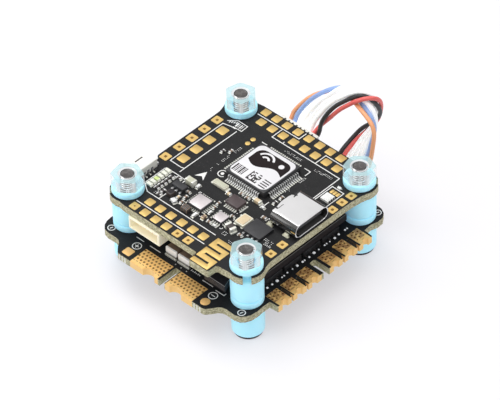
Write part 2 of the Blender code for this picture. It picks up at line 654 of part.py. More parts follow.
PAD_Z = ESC_SEAT + TRANSISTOR_H + GAP
PAD_T = 0.40
SPREADER_Z = PAD_Z + PAD_T + GAP
SPREADER_T = 1.50
plate("thermal_pad", [spreader_outline(0.6)], PAD_Z, PAD_Z + PAD_T, PAD)
plate("heat_spreader", [spreader_outline(0.0)], SPREADER_Z, SPREADER_Z + SPREADER_T, DARK_PLATE)

# ---- boot button, side push, under the -X edge of the flight controller --------------
BUTTON_Y = 6.0


def button_box(part, x_span, half_width, top, bottom, finish=None, bevel=0.0):
    """Part of the button; top and bottom are depths below its seat under the board."""
    return box("boot_button_" + part, x_span, (BUTTON_Y - half_width, BUTTON_Y + half_width),
               (FC_UNDER - bottom, FC_UNDER - top), finish, bevel)


button = button_box("body", (-17.6, -14.6), 1.75, 0.0, 1.35, CHIP, 0.08)
well = button_box("well", (-19.0, -15.9), 1.05, 0.25, 1.10)
boolean(button, well, 'DIFFERENCE')
button_box("plunger", (-18.25, -16.3), 0.95, 0.33, 1.02, WHITE, 0.08)

# ---- one frame for the whole stack ---------------------------------------------------
stack_frame = bpy.data.objects.new("stack_frame", None)
stack_frame.location = (0.0, -ORIGIN_Y * MM, 0.0)
for ob in list(PIECES.objects) + list(CUTTERS.objects):
    ob.parent = stack_frame
PIECES.objects.link(stack_frame)
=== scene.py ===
# Looks for a two-board flight stack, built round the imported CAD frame.
# The flight controller (fc) lies above the speed controller (esc). Four screws with clear
# nuts and soft grommets hold them, and a cable of eight wires loops behind both boards.
# Frame: +X right, -Y front, +Z up. Shapes are drawn in millimetres about the centre of the
# hole pattern; Part.build turns them into metres in the CAD frame.
import bpy
import bmesh
import math
import random
from typing import NamedTuple
import numpy as np
from mathutils import Matrix, Vector


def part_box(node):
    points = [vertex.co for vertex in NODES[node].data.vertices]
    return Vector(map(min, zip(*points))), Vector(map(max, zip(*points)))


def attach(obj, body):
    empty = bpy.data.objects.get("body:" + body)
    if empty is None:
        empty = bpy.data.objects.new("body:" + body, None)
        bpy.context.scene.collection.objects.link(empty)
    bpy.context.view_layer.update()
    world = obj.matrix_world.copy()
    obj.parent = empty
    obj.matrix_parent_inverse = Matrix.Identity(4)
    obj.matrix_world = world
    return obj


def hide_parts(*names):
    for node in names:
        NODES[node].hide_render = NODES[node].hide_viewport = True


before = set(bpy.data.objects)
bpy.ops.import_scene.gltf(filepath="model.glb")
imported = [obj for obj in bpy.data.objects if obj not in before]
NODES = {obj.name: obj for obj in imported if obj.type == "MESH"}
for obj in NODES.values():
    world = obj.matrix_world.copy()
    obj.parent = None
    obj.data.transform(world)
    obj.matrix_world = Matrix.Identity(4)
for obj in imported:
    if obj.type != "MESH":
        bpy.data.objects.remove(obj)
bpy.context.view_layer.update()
MM = 0.001
scatter = random.Random(7)      # shared by the vias and the loose small parts

# ---- places from the CAD ---------------------------------------------------------------
# name, side in X, side in Y, turn of the nut in degrees
CORNERS = (("front_right", 1, -1, -8.0), ("back_right", 1, 1, 27.0),
           ("back_left", -1, 1, 0.0), ("front_left", -1, -1, 25.0))
screw_boxes = [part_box("screw_" + corner[0]) for corner in CORNERS]
CENTRE_Y = sum(low.y + high.y for low, high in screw_boxes) / 8 / MM
HOLE = (screw_boxes[0][0].x + screw_boxes[0][1].x) / 2 / MM     # hole axis from the centre


class Box(NamedTuple):
    left: float
    right: float
    front: float
    back: float
    bottom: float
    top: float

    @property
    def mid_x(self):
        return (self.left + self.right) / 2

    @property
    def mid_y(self):
        return (self.front + self.back) / 2

    @property
    def mid_z(self):
        return (self.bottom + self.top) / 2

    @property
    def half_x(self):
        return (self.right - self.left) / 2

    @property
    def half_y(self):
        return (self.back - self.front) / 2

    @property
    def half_z(self):
        return (self.top - self.bottom) / 2


def cad_box(node):
    """Bounds of a CAD node in millimetres about the hole pattern."""
    low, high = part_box(node)
    return Box(low.x / MM, high.x / MM, low.y / MM - CENTRE_Y, high.y / MM - CENTRE_Y,
               low.z / MM, high.z / MM)


FC_BOTTOM, FC_TOP = cad_box("fc_board")[4:]
ESC_BOTTOM, esc_pad_top = cad_box("esc_board")[4:]
ESC_TOP = esc_pad_top - 0.06    # the speed controller's pads stand above its mask
SUNK = 0.02                     # print and pads reach this far into the board
FC_SEAT = FC_TOP - 0.01         # soldered parts start just inside the board
NUT_BOTTOM = cad_box("nut_front_right").bottom
USB = cad_box("usb_c_shell")
CAPACITOR = cad_box("power_capacitor_1")
TRANSISTORS = sorted(node for node in NODES if node.startswith("transistor"))

# front and back of the motor pads on either side edge of the speed controller
MOTOR_PADS = ((-12.60, -9.70), (-8.67, -5.70), (-4.56, -1.80),
              (1.34, 4.05), (5.30, 8.10), (9.40, 12.20))
# the slots lie midway between neighbours, in each group of three
FINGER_SLOTS = [(near[1] + far[0]) / 2 for group in (MOTOR_PADS[:3], MOTOR_PADS[3:])
                for near, far in zip(group, group[1:])]


# ---- node-material helpers -------------------------------------------------------------
class Value:
    """A shader socket. Arithmetic and comparisons on it add Math nodes."""

    def __init__(self, mat, socket):
        self.mat = mat
        self.socket = socket

    def __add__(self, other):
        return self.mat.math('ADD', self, other)

    def __sub__(self, other):
        return self.mat.math('SUBTRACT', self, other)

    def __rsub__(self, other):
        return self.mat.math('SUBTRACT', other, self)

    def __mul__(self, other):
        return self.mat.math('MULTIPLY', self, other)

    def __truediv__(self, other):
        return self.mat.math('DIVIDE', self, other)

    def __mod__(self, other):
        return self.mat.math('FLOORED_MODULO', self, other)

    def __pow__(self, other):
        return self.mat.math('POWER', self, other)

    def __gt__(self, other):
        return self.mat.math('GREATER_THAN', self, other)

    def __lt__(self, other):
        return self.mat.math('LESS_THAN', self, other)

    def __abs__(self):
        return self.mat.math('ABSOLUTE', self)

    def fract(self):
        return self.mat.math('FRACT', self)

    def at_least(self, floor):
        return self.mat.math('MAXIMUM', self, floor)

    def between(self, low, high):
        return (self > low) * (self < high)


def union(first, *others):
    for other in others:
        first = first.at_least(other)
    return first


class Material:
    """A node material under construction."""
    INPUTS = {"color": "Base Color", "rough": "Roughness", "metal": "Metallic",
              "normal": "Normal", "spec": "Specular IOR Level", "sheen": "Sheen Weight",
              "scatter": "Subsurface Weight", "scatter_rgb": "Subsurface Radius",
              "scatter_scale": "Subsurface Scale", "glow": "Emission Color",
              "glow_strength": "Emission Strength"}

    def __init__(self, name):
        self.material = bpy.data.materials.new(name)
        self.material.use_nodes = True
        self.tree = self.material.node_tree
        self.tree.nodes.clear()
        self.output = self.node("OutputMaterial")
        self.shared_place = None

    def put(self, node, key, value):
        socket = node.inputs[key]
        if isinstance(value, Value):
            self.tree.links.new(value.socket, socket)
        elif isinstance(value, bpy.types.Node):
            self.tree.links.new(value.outputs[0], socket)
        else:
            if isinstance(value, tuple) and socket.type == 'RGBA' and len(value) == 3:
                value += (1.0,)
            socket.default_value = value

    def node(self, kind, inputs=None, **properties):
        node = self.tree.nodes.new("ShaderNode" + kind)
        for key, value in properties.items():
            setattr(node, key, value)
        for key, value in (inputs or {}).items():
            self.put(node, key, value)
        return node

    def value(self, node, output=0):
        return Value(self, node.outputs[output])

    def place(self):
        """Object coordinates in millimetres about the hole pattern."""
        if self.shared_place is None:
            source = self.node("TexCoord")
            scaled = self.node("VectorMath", {0: self.value(source, "Object"),
                                              "Scale": 1000.0}, operation='SCALE')
            moved = self.node("VectorMath", {0: scaled, 1: (0.0, -CENTRE_Y, 0.0)},
                              operation='ADD')
            self.shared_place = self.value(moved)
        return self.shared_place

    def split(self, vector):
        node = self.node("SeparateXYZ", {0: vector})
        return [self.value(node, k) for k in range(3)]

    def position(self):
        return self.split(self.place())

    def normal(self):
        """Face normal in the object's own axes."""
        geometry = self.node("NewGeometry")
        turned = self.node("VectorTransform", {0: self.value(geometry, "True Normal")},
                           vector_type='NORMAL', convert_from='WORLD', convert_to='OBJECT')
        return self.split(turned)

    def math(self, operation, first, second=0.0):
        return self.value(self.node("Math", {0: first, 1: second}, operation=operation))

    def noise(self, scale, detail=3, rough=0.6, stretch=None):
        vector = self.place()
        if stretch:
            vector = self.node("VectorMath", {0: vector, 1: stretch}, operation='MULTIPLY')
        return self.value(self.node("TexNoise", {
            "Vector": vector, "Scale": scale, "Detail": detail, "Roughness": rough}))

    def ramp(self, factor, start, end):
        """Black below start, white above end."""
        node = self.node("ValToRGB", {0: factor})
        node.color_ramp.elements[0].position = start
        node.color_ramp.elements[1].position = end
        return self.value(node)

    def mix(self, factor, first, second):
        """Mix of two colours."""
        node = self.node("Mix", {0: factor, 6: first, 7: second}, data_type='RGBA')
        return self.value(node, 2)

    def lerp(self, factor, first, second):
        """Mix of two numbers."""
        return self.value(self.node("Mix", {0: factor, 2: first, 3: second},
                                    data_type='FLOAT'))

    def bump(self, height, strength, depth):
        return self.value(self.node("Bump", {
            "Height": height, "Strength": strength, "Distance": depth * MM}))

    def surface(self, **inputs):
        return self.node("BsdfPrincipled",
                         {self.INPUTS[key]: value for key, value in inputs.items()})

    def layer(self, factor, under, over):
        return self.node("MixShader", {0: factor, 1: under, 2: over})

    def finish(self, shader):
        self.put(self.output, 0, shader)
        return self.material

    def finish_surface(self, **inputs):
        return self.finish(self.surface(**inputs))


def hole_radius(mat, x, y):
    """Distance from the nearest hole's axis."""
    across = abs(x) - HOLE
    along = abs(y) - HOLE
    return mat.math('SQRT', across * across + along * along)


# ---- materials -------------------------------------------------------------------------
# "fine" and "blot" are small and large noise; 'color' gathers the tints laid over each other.
def pad_gold():
    mat = Material("pad_gold")
    blot = mat.noise(scale=1.3, detail=4)
    fine = mat.noise(scale=9.0)
    color = mat.mix(blot * 0.75, (0.72, 0.50, 0.175), (0.56, 0.36, 0.10))
    color = mat.mix(fine * 0.25, color, (0.98, 0.74, 0.32))
    return mat.finish_surface(color=color, rough=mat.lerp(fine, 0.32, 0.54), metal=0.60,
                              normal=mat.bump(fine, strength=0.35, depth=0.010))


def plain(name, base, rough=0.4, metal=0.0, scale=8.0, vary=0.12, bump=0.15, depth=0.01,
          **inputs):
    """Moulded or plated surface: fine grain in colour, gloss and relief."""
    mat = Material(name)
    fine = mat.noise(scale=scale, detail=4)
    blot = mat.noise(scale=scale * 0.16, detail=2, rough=0.5)
    dark = tuple(channel * (1 - vary) for channel in base)
    light = tuple(min(1.0, channel * (1 + vary * 0.6)) for channel in base)
    color = mat.mix(mat.lerp(0.5, fine, blot), dark, light)
    return mat.finish_surface(
        color=color, rough=mat.lerp(fine, max(0.02, rough - 0.06), rough + 0.08), metal=metal,
        normal=mat.bump(fine, strength=bump, depth=depth), **inputs)


def laminate_edge(mat, shade=1.0, slots=()):
    """Routed glass-epoxy edge: olive laminate, glass bundles, thin inner copper lines."""
    x, y, z = mat.position()
    bundles = mat.noise(scale=1.0, detail=4, rough=0.65, stretch=(3.0, 3.0, 16.0))
    grit = mat.noise(scale=14.0)
    fleck = mat.noise(scale=2.3, stretch=(1.0, 1.0, 1.5))

    def tone(*rgb):
        return tuple(channel * (shade * 1.28) for channel in rgb)

    color = mat.mix(bundles, tone(0.16, 0.145, 0.075), tone(0.50, 0.48, 0.31))
    color = mat.mix(grit * 0.25, color, tone(0.66, 0.62, 0.44))
    color = mat.mix((fleck > 0.57) * 0.60, color, tone(0.13, 0.115, 0.065))
    color = mat.mix((fleck < 0.43) * 0.50, color, tone(0.66, 0.64, 0.47))
    # copper layers, 2.6 to the millimetre, each a tenth of its spacing thick
    color = mat.mix(((z * 2.6).fract() < 0.10) * 0.45, color, (0.20, 0.15, 0.08))
    if slots:
        # cut slots between the fingers are narrow and stay in shade
        at_edge = abs(x) > 17.9
        in_slot = union(*[y.between(slot - 0.30, slot + 0.30) for slot in slots])
        color = mat.mix(at_edge * in_slot * 0.85, color, (0.050, 0.026, 0.012))
    return mat.surface(color=color, rough=0.62, spec=0.25,
                       normal=mat.bump(grit, strength=0.5, depth=0.02))


def solder_mask(mat, base):
    """Satin black solder mask with the relief of the traces below it."""
    fine = mat.noise(scale=16.0)
    blot = mat.noise(scale=0.35, rough=0.5)
    cell = mat.node("TexVoronoi", {"Vector": mat.place(), "Scale": 0.62},
                    feature='F1', distance='MANHATTAN')
    # contour lines round the cells, kept only in patches
    trace = (mat.value(cell, "Distance") * 3.4).fract() < 0.26
    trace = trace * (mat.noise(scale=0.55, detail=1, rough=0.5) > 0.52)
    color = mat.mix(blot, base, tuple(channel * 1.45 for channel in base))
    color = mat.mix(trace * 0.22, color, tuple(channel * 2.4 for channel in base))
    color = mat.mix((fine > 0.64) * 0.35, color, (0.085, 0.085, 0.088))
    relief = trace * 0.55 + fine * 0.45
    return mat.surface(color=color, rough=mat.lerp(fine, 0.36, 0.52), spec=0.11,
                       normal=mat.bump(relief, strength=0.35, depth=0.02))


def fc_board_look():
    mat = Material("fc_solder_mask")
    is_side = abs(mat.normal()[2]) < 0.5
    mask = solder_mask(mat, (0.0165, 0.0165, 0.0170))
    return mat.finish(mat.layer(is_side, mask, laminate_edge(mat)))


def esc_board_look():
    mat = Material("esc_solder_mask")
    normal_z = mat.normal()[2]
    x, y, z = mat.position()
    outward = abs(x)
    is_side = abs(normal_z) < 0.5
    mask = solder_mask(mat, (0.013, 0.0135, 0.0145))
    edge = laminate_edge(mat, 0.95, FINGER_SLOTS)
    # plated metal: pad tops stand above the mask; finger ends and half-round notches too
    top = z > ESC_TOP + 0.02
    battery = (y < -21.6) * union(x.between(-7.85, -0.62), x.between(1.22, 8.2))
    fingers = (outward > 20.12) * abs(y - -0.2).between(1.15, 12.7)
    rims = union((y < -21.3) * union(x.between(-7.8, -0.7), x.between(1.3, 8.15)),
                 (outward > 19.95) * union(*[y.between(*pad) for pad in MOTOR_PADS]))
    plated = union(is_side, rims * (normal_z > 0.5)) * union(battery, fingers)
    is_gold = union(top, plated)

    # filled vias: staggered dots, at the same pitch on the front pads and the side pads
    front_pitch = side_pitch = 0.80
    per_mm = mat.lerp(y < -18.0, 1 / side_pitch, 1 / front_pitch)
    stagger = mat.math('FLOOR', y * per_mm) % 2.0 * 0.5
    from_dot_x = (x * per_mm + stagger).fract() - 0.5
    from_dot_y = (y * per_mm).fract() - 0.5
    reach = from_dot_x * from_dot_x + from_dot_y * from_dot_y   # squared
    dot = reach < 0.078
    ring = reach.between(0.078, 0.135)
    off_rim = (y > -21.95) * (outward < 19.55)
    on_pads = off_rim * top * (normal_z > 0.5)
    dot = dot * on_pads
    ring = ring * on_pads

    blot = mat.noise(scale=1.6, detail=4, rough=0.62)
    fine = mat.noise(scale=10.0)
    gold = mat.mix(blot, (0.98, 0.63, 0.22), (0.82, 0.44, 0.12))
    # brown patches on the motor pads
    motor = outward.between(17.0, 19.7) * (normal_z > 0.5)
    patch = mat.ramp(mat.noise(scale=0.9), start=0.43, end=0.51)
    gold = mat.mix(motor * patch * 0.80, gold, (0.24, 0.070, 0.022))
    # painted highlight: the plated walls and rims of the pads are mixed towards a lighter gold
    gold = mat.mix(plated * 0.35, gold, (0.92, 0.66, 0.28))
    gold = mat.mix(fine * 0.22, gold, (1.0, 0.80, 0.42))
    gold = mat.mix(ring * 0.30, gold, (0.95, 0.66, 0.25))
    gold = mat.mix(dot * 0.90, gold, (0.105, 0.036, 0.010))
    metal = mat.surface(
        color=gold, rough=mat.lerp(dot, mat.lerp(fine, 0.32, 0.52), 0.85),
        metal=mat.lerp(dot, 0.38, 0.0), spec=mat.lerp(dot, 0.5, 0.08),
        normal=mat.bump(fine * 0.4 - dot, strength=0.5, depth=0.05))
    return mat.finish(mat.layer(is_gold, mat.layer(is_side, mask, edge), metal))


def silicone():
    mat = Material("silicone_sky_blue")
    fine = mat.noise(scale=7.0, detail=4)
    blot = mat.noise(scale=0.5, detail=2, rough=0.5)
    color = mat.mix(blot, (0.42, 0.85, 0.98), (0.50, 0.90, 1.0))
    color = mat.mix(fine * 0.18, color, (0.55, 0.86, 0.97))
    # painted glow: the silicone gives off a faint cyan light of its own
    return mat.finish_surface(
        color=color, rough=mat.lerp(fine, 0.40, 0.58), spec=0.42, sheen=0.08,
        normal=mat.bump(fine, strength=0.22, depth=0.02), scatter=0.25,
        scatter_rgb=(0.4, 0.8, 1.0), scatter_scale=0.0012,
        glow=(0.30, 0.62, 0.88, 1.0), glow_strength=0.26)


def clear_nylon():
    """Clear blue-tinted nylon: milky where light gathers, with a painted glow there and a
    painted highlight on the bore's rim, see-through over the thread.
    """
    mat = Material("clear_nut")
    fine = mat.noise(scale=3.0)
    blot = mat.noise(scale=1.1, detail=2)
    normal_z = mat.normal()[2]
    x, y, z = mat.position()
    is_top = normal_z > 0.80
    radius = hole_radius(mat, x, y)
    outer_face = 1.0 - mat.value(mat.node("NewGeometry"), "Backfacing")
    facing = mat.value(mat.node("LayerWeight", {"Blend": 0.35}), "Facing")
    # the middle of each side, in front of the screw, stays clearest
    edge = mat.math('MINIMUM', ((radius - 2.78) * 3.4).at_least(0.0), 1.0)
    lit_bore_rim = radius.between(1.0, 1.80)
    faces_up = normal_z > 0.40
    top_color = mat.mix(blot, (0.50, 0.84, 0.90), (0.72, 0.95, 0.97))
    side_color = mat.mix(blot, (0.86, 0.95, 0.97), (0.97, 0.99, 1.0))
    color = mat.mix(is_top, side_color, top_color)
    # painted highlight: the bore's rim is whitened; painted glow: the milky layer below gives
    # off light of its own colour
    color = mat.mix(lit_bore_rim * 0.8, color, (0.97, 0.98, 1.0))
    glow = mat.node("Emission", {"Color": color, "Strength": 0.80})
    milky = mat.layer(0.62, mat.surface(color=color, rough=0.25), glow)
    clear = mat.node("BsdfTransparent", {
        "Color": mat.mix(is_top, (0.97, 0.995, 1.0), (0.80, 0.96, 0.99))})
    # how milky, and so how much painted glow: sides, top, far faces, then the bore's rim as a
    # painted highlight
    side_milk = mat.lerp(edge, 0.04, 0.62) + blot * 0.12
    top_milk = mat.lerp(edge, 0.50, 0.66) + blot * 0.16
    milk = mat.lerp(is_top, side_milk, top_milk)
    milk = milk * mat.lerp(outer_face, 0.16, 1.0)
    milk = mat.lerp(lit_bore_rim * faces_up * outer_face, milk, 0.95)
    inside = mat.layer(milk, clear, milky)

    # painted refraction: bent light makes the thread seem to run on down to the moulding
    # through the sides, so a glowing thread image with a painted glint is painted as a band
    # over the nut's foot on its front-right side
    is_foot = (z < NUT_BOTTOM + 0.04) * (1.0 - outer_face)
    from_axis_x = x - mat.math('SIGN', x) * HOLE
    from_axis_y = y - mat.math('SIGN', y) * HOLE
    off_middle = abs((from_axis_x + from_axis_y) * 0.7071)
    front_right = from_axis_x - from_axis_y > 0.0
    band = front_right * (off_middle < 1.42) * (radius < 2.70)
    stripes = (radius * 2.1).fract() < 0.42
    painted_glint = (1.0 - abs(off_middle - 0.18) * 5.0).at_least(0.0)
    grey = mat.mix(fine, (0.50, 0.52, 0.53), (0.80, 0.81, 0.82))
    steel = mat.mix(stripes, grey, (0.045, 0.047, 0.05))
    steel = mat.mix(painted_glint, steel, (1.0, 1.0, 1.0))
    painted_thread_color = mat.mix(band, mat.mix(blot, (0.62, 0.90, 0.96), (0.93, 0.98, 1.0)), steel)
    foot = mat.node("Emission", {"Color": painted_thread_color, "Strength": 0.78})
    inside = mat.layer(is_foot * mat.lerp(band, 0.55, 0.90), inside, foot)

    reflection = facing ** 2.5 * 0.45
    gloss = mat.node("BsdfGlossy", {
        "Color": (1.0, 1.0, 1.0, 1.0), "Roughness": 0.10,
        "Normal": mat.bump(fine, strength=0.06, depth=0.008)})
    return mat.finish(mat.layer((reflection + 0.05) * outer_face, inside, gloss))


def thread_steel():
    mat = Material("screw_thread_steel")
    x, y, z = mat.position()
    fine = mat.noise(scale=6.0, detail=4)
    tip = (z > 20.05) * (mat.normal()[2] > 0.9)
    head = z < 0.75
    radius = hole_radius(mat, x, y)
    # painted shade: the thread's roots are darkened nearly to black, the crests stay silver
    crest = mat.ramp((radius - 1.20) * 3.6, start=0.15, end=0.72)
    bright = mat.mix(crest, (0.035, 0.035, 0.038),
                     mat.mix(fine, (0.88, 0.88, 0.88), (0.99, 0.99, 0.99)))
    dark = mat.mix(fine, (0.045, 0.040, 0.040), (0.12, 0.108, 0.106))
    black = mat.mix(fine, (0.015, 0.015, 0.017), (0.04, 0.04, 0.045))
    tip_rim = (z > 19.6) * (radius > 1.185)
    tip = tip * (1.0 - tip_rim)
    spot = mat.noise(scale=1.6) > 0.52
    dark = mat.mix(spot * 0.6, dark, (0.16, 0.15, 0.145))
    color = mat.mix(head, mat.mix(tip, bright, dark), black)
    return mat.finish_surface(
        color=color, metal=mat.lerp(union(tip, head), 0.95, 0.35),
        rough=mat.lerp(union(tip, head), 0.22, 0.46),
        normal=mat.bump(fine, strength=0.25, depth=0.02))


def usb_steel():
    mat = Material("usb_shell_steel")
    brush = mat.noise(scale=2.0, detail=4, stretch=(1.0, 22.0, 22.0))
    fine = mat.noise(scale=12.0)
    blot = mat.noise(scale=0.45, detail=2, rough=0.5)
    _, normal_y, normal_z = mat.normal()
    relief = mat.bump(mat.lerp(0.3, brush, fine), strength=0.06, depth=0.008)
    steel = mat.surface(color=mat.mix(brush, (0.66, 0.655, 0.655), (0.78, 0.775, 0.775)),
                        metal=1.0, rough=mat.lerp(brush, 0.11, 0.20), normal=relief)
    # painted reflection: the flat top is an even, nearly matt pale grey standing in for the
    # white surroundings mirrored in it
    top_color = mat.mix(mat.lerp(0.7, brush, blot), (0.570, 0.564, 0.566),
                        (0.640, 0.633, 0.635))
    pale = mat.surface(color=top_color, metal=0.12, rough=0.42, normal=relief, spec=0.35)
    # painted reflection and shade: the rolled edges are painted dark as the dark board mirrored
    # in them, the inside of the mouth dark as its shade
    dark_reflection_color = mat.mix(brush, (0.030, 0.029, 0.028), (0.080, 0.078, 0.075))
    dark = mat.surface(color=dark_reflection_color, metal=0.7, rough=0.22, normal=relief)
    x, y, z = mat.position()
    inside = (abs(y - USB.mid_y) < USB.half_y - 0.13) * (abs(z - USB.mid_z) < USB.half_z - 0.13)
    inside = inside * (x < USB.right - 0.12)
    inside = inside * (x > USB.right - 5.4)
    rolled = (normal_y < -0.30) * normal_z.between(0.02, 0.90)
    rolled = union(rolled, inside, (normal_y > 0.12) * normal_z.between(0.02, 0.995))
    flat = (normal_z > 0.955) * (normal_y < 0.12)
    return mat.finish(mat.layer(rolled * 0.92, mat.layer(flat, steel, pale), dark))


def ceramic(name, first, second):
    mat = Material(name)
    cell = mat.node("TexVoronoi", {"Vector": mat.place(), "Scale": 9.0}, feature='F1')
    fine = mat.noise(scale=14.0, detail=4)
    blot = mat.noise(scale=1.1, detail=2, rough=0.5)
    color = mat.mix(mat.lerp(0.6, blot, mat.value(cell, "Distance")), first, second)
    return mat.finish_surface(color=color, rough=mat.lerp(fine, 0.28, 0.45), spec=0.5,
                              normal=mat.bump(fine, strength=0.28, depth=0.015))


def epoxy(name, base, rough):
    mat = Material(name)
    grain = mat.noise(scale=22.0, detail=4, rough=0.7)
    blot = mat.noise(scale=0.8, detail=2, rough=0.5)
    color = mat.mix(blot, base, tuple(channel * 1.7 + 0.004 for channel in base))
    color = mat.mix((grain > 0.62) * 0.5, color,
                    tuple(channel * 3 + 0.02 for channel in base))
    return mat.finish_surface(color=color, rough=mat.lerp(grain, rough - 0.08, rough + 0.14),
                              normal=mat.bump(grain, strength=0.45, depth=0.015), spec=0.5)


def anodised():
    mat = Material("anodised_black")
    brush = mat.noise(scale=1.4, detail=4, stretch=(26.0, 1.0, 1.0))
    fine = mat.noise(scale=18.0)
    color = mat.mix(brush, (0.024, 0.0215, 0.0235), (0.052, 0.046, 0.050))
    return mat.finish_surface(color=color, metal=0.15, rough=mat.lerp(fine, 0.50, 0.66),
                              normal=mat.bump(brush, strength=0.2, depth=0.015), spec=0.12)


def insulation(name, base, tint, glow_strength=0.0):
    mat = Material(name)
    fine = mat.noise(scale=7.0, detail=4)
    blot = mat.noise(scale=0.35, detail=2, rough=0.5)
    color = mat.mix(blot, base, tuple(min(1.0, channel * 1.12 + 0.01) for channel in base))
    color = mat.mix(fine * 0.22, color, tint)
    # painted glow: the insulation gives off light in its tint at glow_strength (only the white
    # wires)
    return mat.finish_surface(
        color=color, rough=mat.lerp(fine, 0.30, 0.46), spec=0.5,
        normal=mat.bump(fine, strength=0.15, depth=0.012), scatter=0.12,
        scatter_rgb=(1.0, 0.8, 0.7), scatter_scale=0.0006,
        glow=tint + (1.0,), glow_strength=glow_strength)


def capacitor_terminal():
    """Plated capacitor end with painted light: painted shade low down where it meets the board,
    brighter above with a painted glow.
    """
    mat = Material("capacitor_terminal")
    z = mat.position()[2]
    fine = mat.noise(scale=6.0, detail=4)
    low, high = CAPACITOR.bottom, CAPACITOR.top
    # painted shade below, painted glow above: both follow the height on the part
    raised = mat.ramp((z - low) / (high - low), start=0.28, end=0.50)
    color = mat.mix(raised, mat.mix(fine, (0.085, 0.078, 0.074), (0.16, 0.15, 0.14)),
                    mat.mix(fine, (0.72, 0.71, 0.69), (0.85, 0.84, 0.82)))
    return mat.finish_surface(
        color=color, metal=0.20, rough=mat.lerp(fine, 0.32, 0.46),
        normal=mat.bump(fine, strength=0.3, depth=0.02),
        glow=(0.92, 0.91, 0.88, 1.0), glow_strength=raised * 0.24)


GOLD = pad_gold()
# copper tone with painted shade: a dark disc for the inside of each plated hole
HOLE_COPPER_AND_SHADE = plain("pad_hole_copper", (0.20, 0.10, 0.015), rough=0.5, metal=0.4)
# the legend ink has a faint painted glow to lift it where it lies in shade
SILK = plain("legend_ink", (0.76, 0.76, 0.74), rough=0.55, scale=12.0, vary=0.14, bump=0.3,
             glow=(0.9, 0.9, 0.9), glow_strength=0.05)
TIN = plain("tin_plate", (0.72, 0.72, 0.72), rough=0.34, metal=0.70, scale=7.0, vary=0.20,
            bump=0.35, depth=0.02)
SOLDER = plain("solder_fillet", (0.86, 0.86, 0.78), rough=0.24, metal=0.45, scale=4.0,
               vary=0.20, bump=0.5, depth=0.03)
# painted glow: the solder dots give off light so they read bright
SOLDER_DOT = plain("solder_dot", (0.90, 0.91, 0.92), rough=0.30, metal=0.10, scale=4.0,
                   vary=0.15, bump=0.4, depth=0.03, glow=(0.9, 0.92, 0.95),
                   glow_strength=0.35)
EPOXY = epoxy("chip_epoxy", (0.020, 0.020, 0.022), rough=0.42)
EPOXY_BROWN = epoxy("sensor_epoxy", (0.052, 0.036, 0.038), rough=0.30)
SILICON = plain("polished_die", (0.74, 0.68, 0.69), rough=0.34, metal=0.55, scale=3.5,
                vary=0.30, bump=0.35, depth=0.014)
LEGS = plain("tinned_leg", (0.50, 0.49, 0.37), rough=0.34, metal=0.45, scale=4.0, vary=0.30,
             bump=0.5, depth=0.03)
TAIL = plain("contact_tail", (0.36, 0.35, 0.34), rough=0.38, metal=0.6, scale=6.0, vary=0.25,
             bump=0.3, depth=0.02)
OLIVE = ceramic("ceramic_olive", (0.46, 0.46, 0.34), (0.62, 0.62, 0.50))
PALE_RIM = ceramic("ceramic_pale_rim", (0.66, 0.63, 0.50), (0.80, 0.78, 0.66))
TAN = ceramic("ceramic_tan", (0.62, 0.47, 0.28), (0.74, 0.62, 0.42))
BROWN = ceramic("ceramic_brown", (0.20, 0.135, 0.09), (0.30, 0.21, 0.15))
DARK = ceramic("ceramic_dark", (0.040, 0.032, 0.030), (0.075, 0.06, 0.055))
CHALK = ceramic("ceramic_white", (0.74, 0.75, 0.72), (0.88, 0.88, 0.86))
LIME = plain("led_lens_lime", (0.66, 0.80, 0.30), rough=0.25, scale=6.0, vary=0.2, bump=0.2)
PEARL = plain("led_lens_pearl", (0.84, 0.85, 0.74), rough=0.25, scale=6.0, bump=0.2)
# painted glow: the cream nylon gives off a faint light of its own
CREAM = plain("nylon_cream", (0.90, 0.85, 0.66), rough=0.42, scale=9.0, vary=0.08, bump=0.3,
              depth=0.015, glow=(0.95, 0.90, 0.72), glow_strength=0.16, scatter=0.15,
              scatter_rgb=(1.0, 0.7, 0.4), scatter_scale=0.0008)
WHITE = plain("nylon_white", (0.86, 0.85, 0.80), rough=0.42, scale=9.0, vary=0.08, bump=0.3,
              depth=0.015, scatter=0.12, scatter_rgb=(1.0, 0.9, 0.8), scatter_scale=0.0008)
LABEL = plain("label_film", (0.745, 0.735, 0.755), rough=0.35, scale=5.0, vary=0.05,
              bump=0.12, depth=0.008)
INK = plain("label_ink", (0.016, 0.010, 0.011), rough=0.45, scale=9.0, vary=0.3,
            depth=0.008, spec=0.12)
BLACK = plain("shadow_black", (0.010, 0.010, 0.011), rough=0.55, scale=9.0, vary=0.3,
              bump=0.2)
BRIGHT = plain("bright_aluminium", (0.21, 0.20, 0.19), rough=0.45, metal=0.60, scale=10.0,
               bump=0.3)
PAD_GREY = plain("thermal_pad_grey", (0.13, 0.14, 0.16), rough=0.85, scale=6.0, vary=0.25,
                 bump=0.6, depth=0.04)
SILICONE = silicone()
CLEAR = clear_nylon()
THREAD = thread_steel()
SHELL = usb_steel()
ANODISED = anodised()


# ---- outlines: counter-clockwise lists of (x, y) ---------------------------------------
def arc(mid_x, mid_y, radius, start, end, steps):
    """Points along an arc, angles in degrees, both ends included."""
    angles = [math.radians(start + (end - start) * k / steps) for k in range(steps + 1)]
    return [(mid_x + radius * math.cos(a), mid_y + radius * math.sin(a)) for a in angles]


def circle(x, y, radius, steps):
    return arc(x, y, radius, 0, 360, steps)[:-1]


def round_rect(left, right, front, back, radius, steps=3):
    return (arc(right - radius, back - radius, radius, 0, 90, steps)
            + arc(left + radius, back - radius, radius, 90, 180, steps)
            + arc(left + radius, front + radius, radius, 180, 270, steps)
            + arc(right - radius, front + radius, radius, 270, 360, steps))


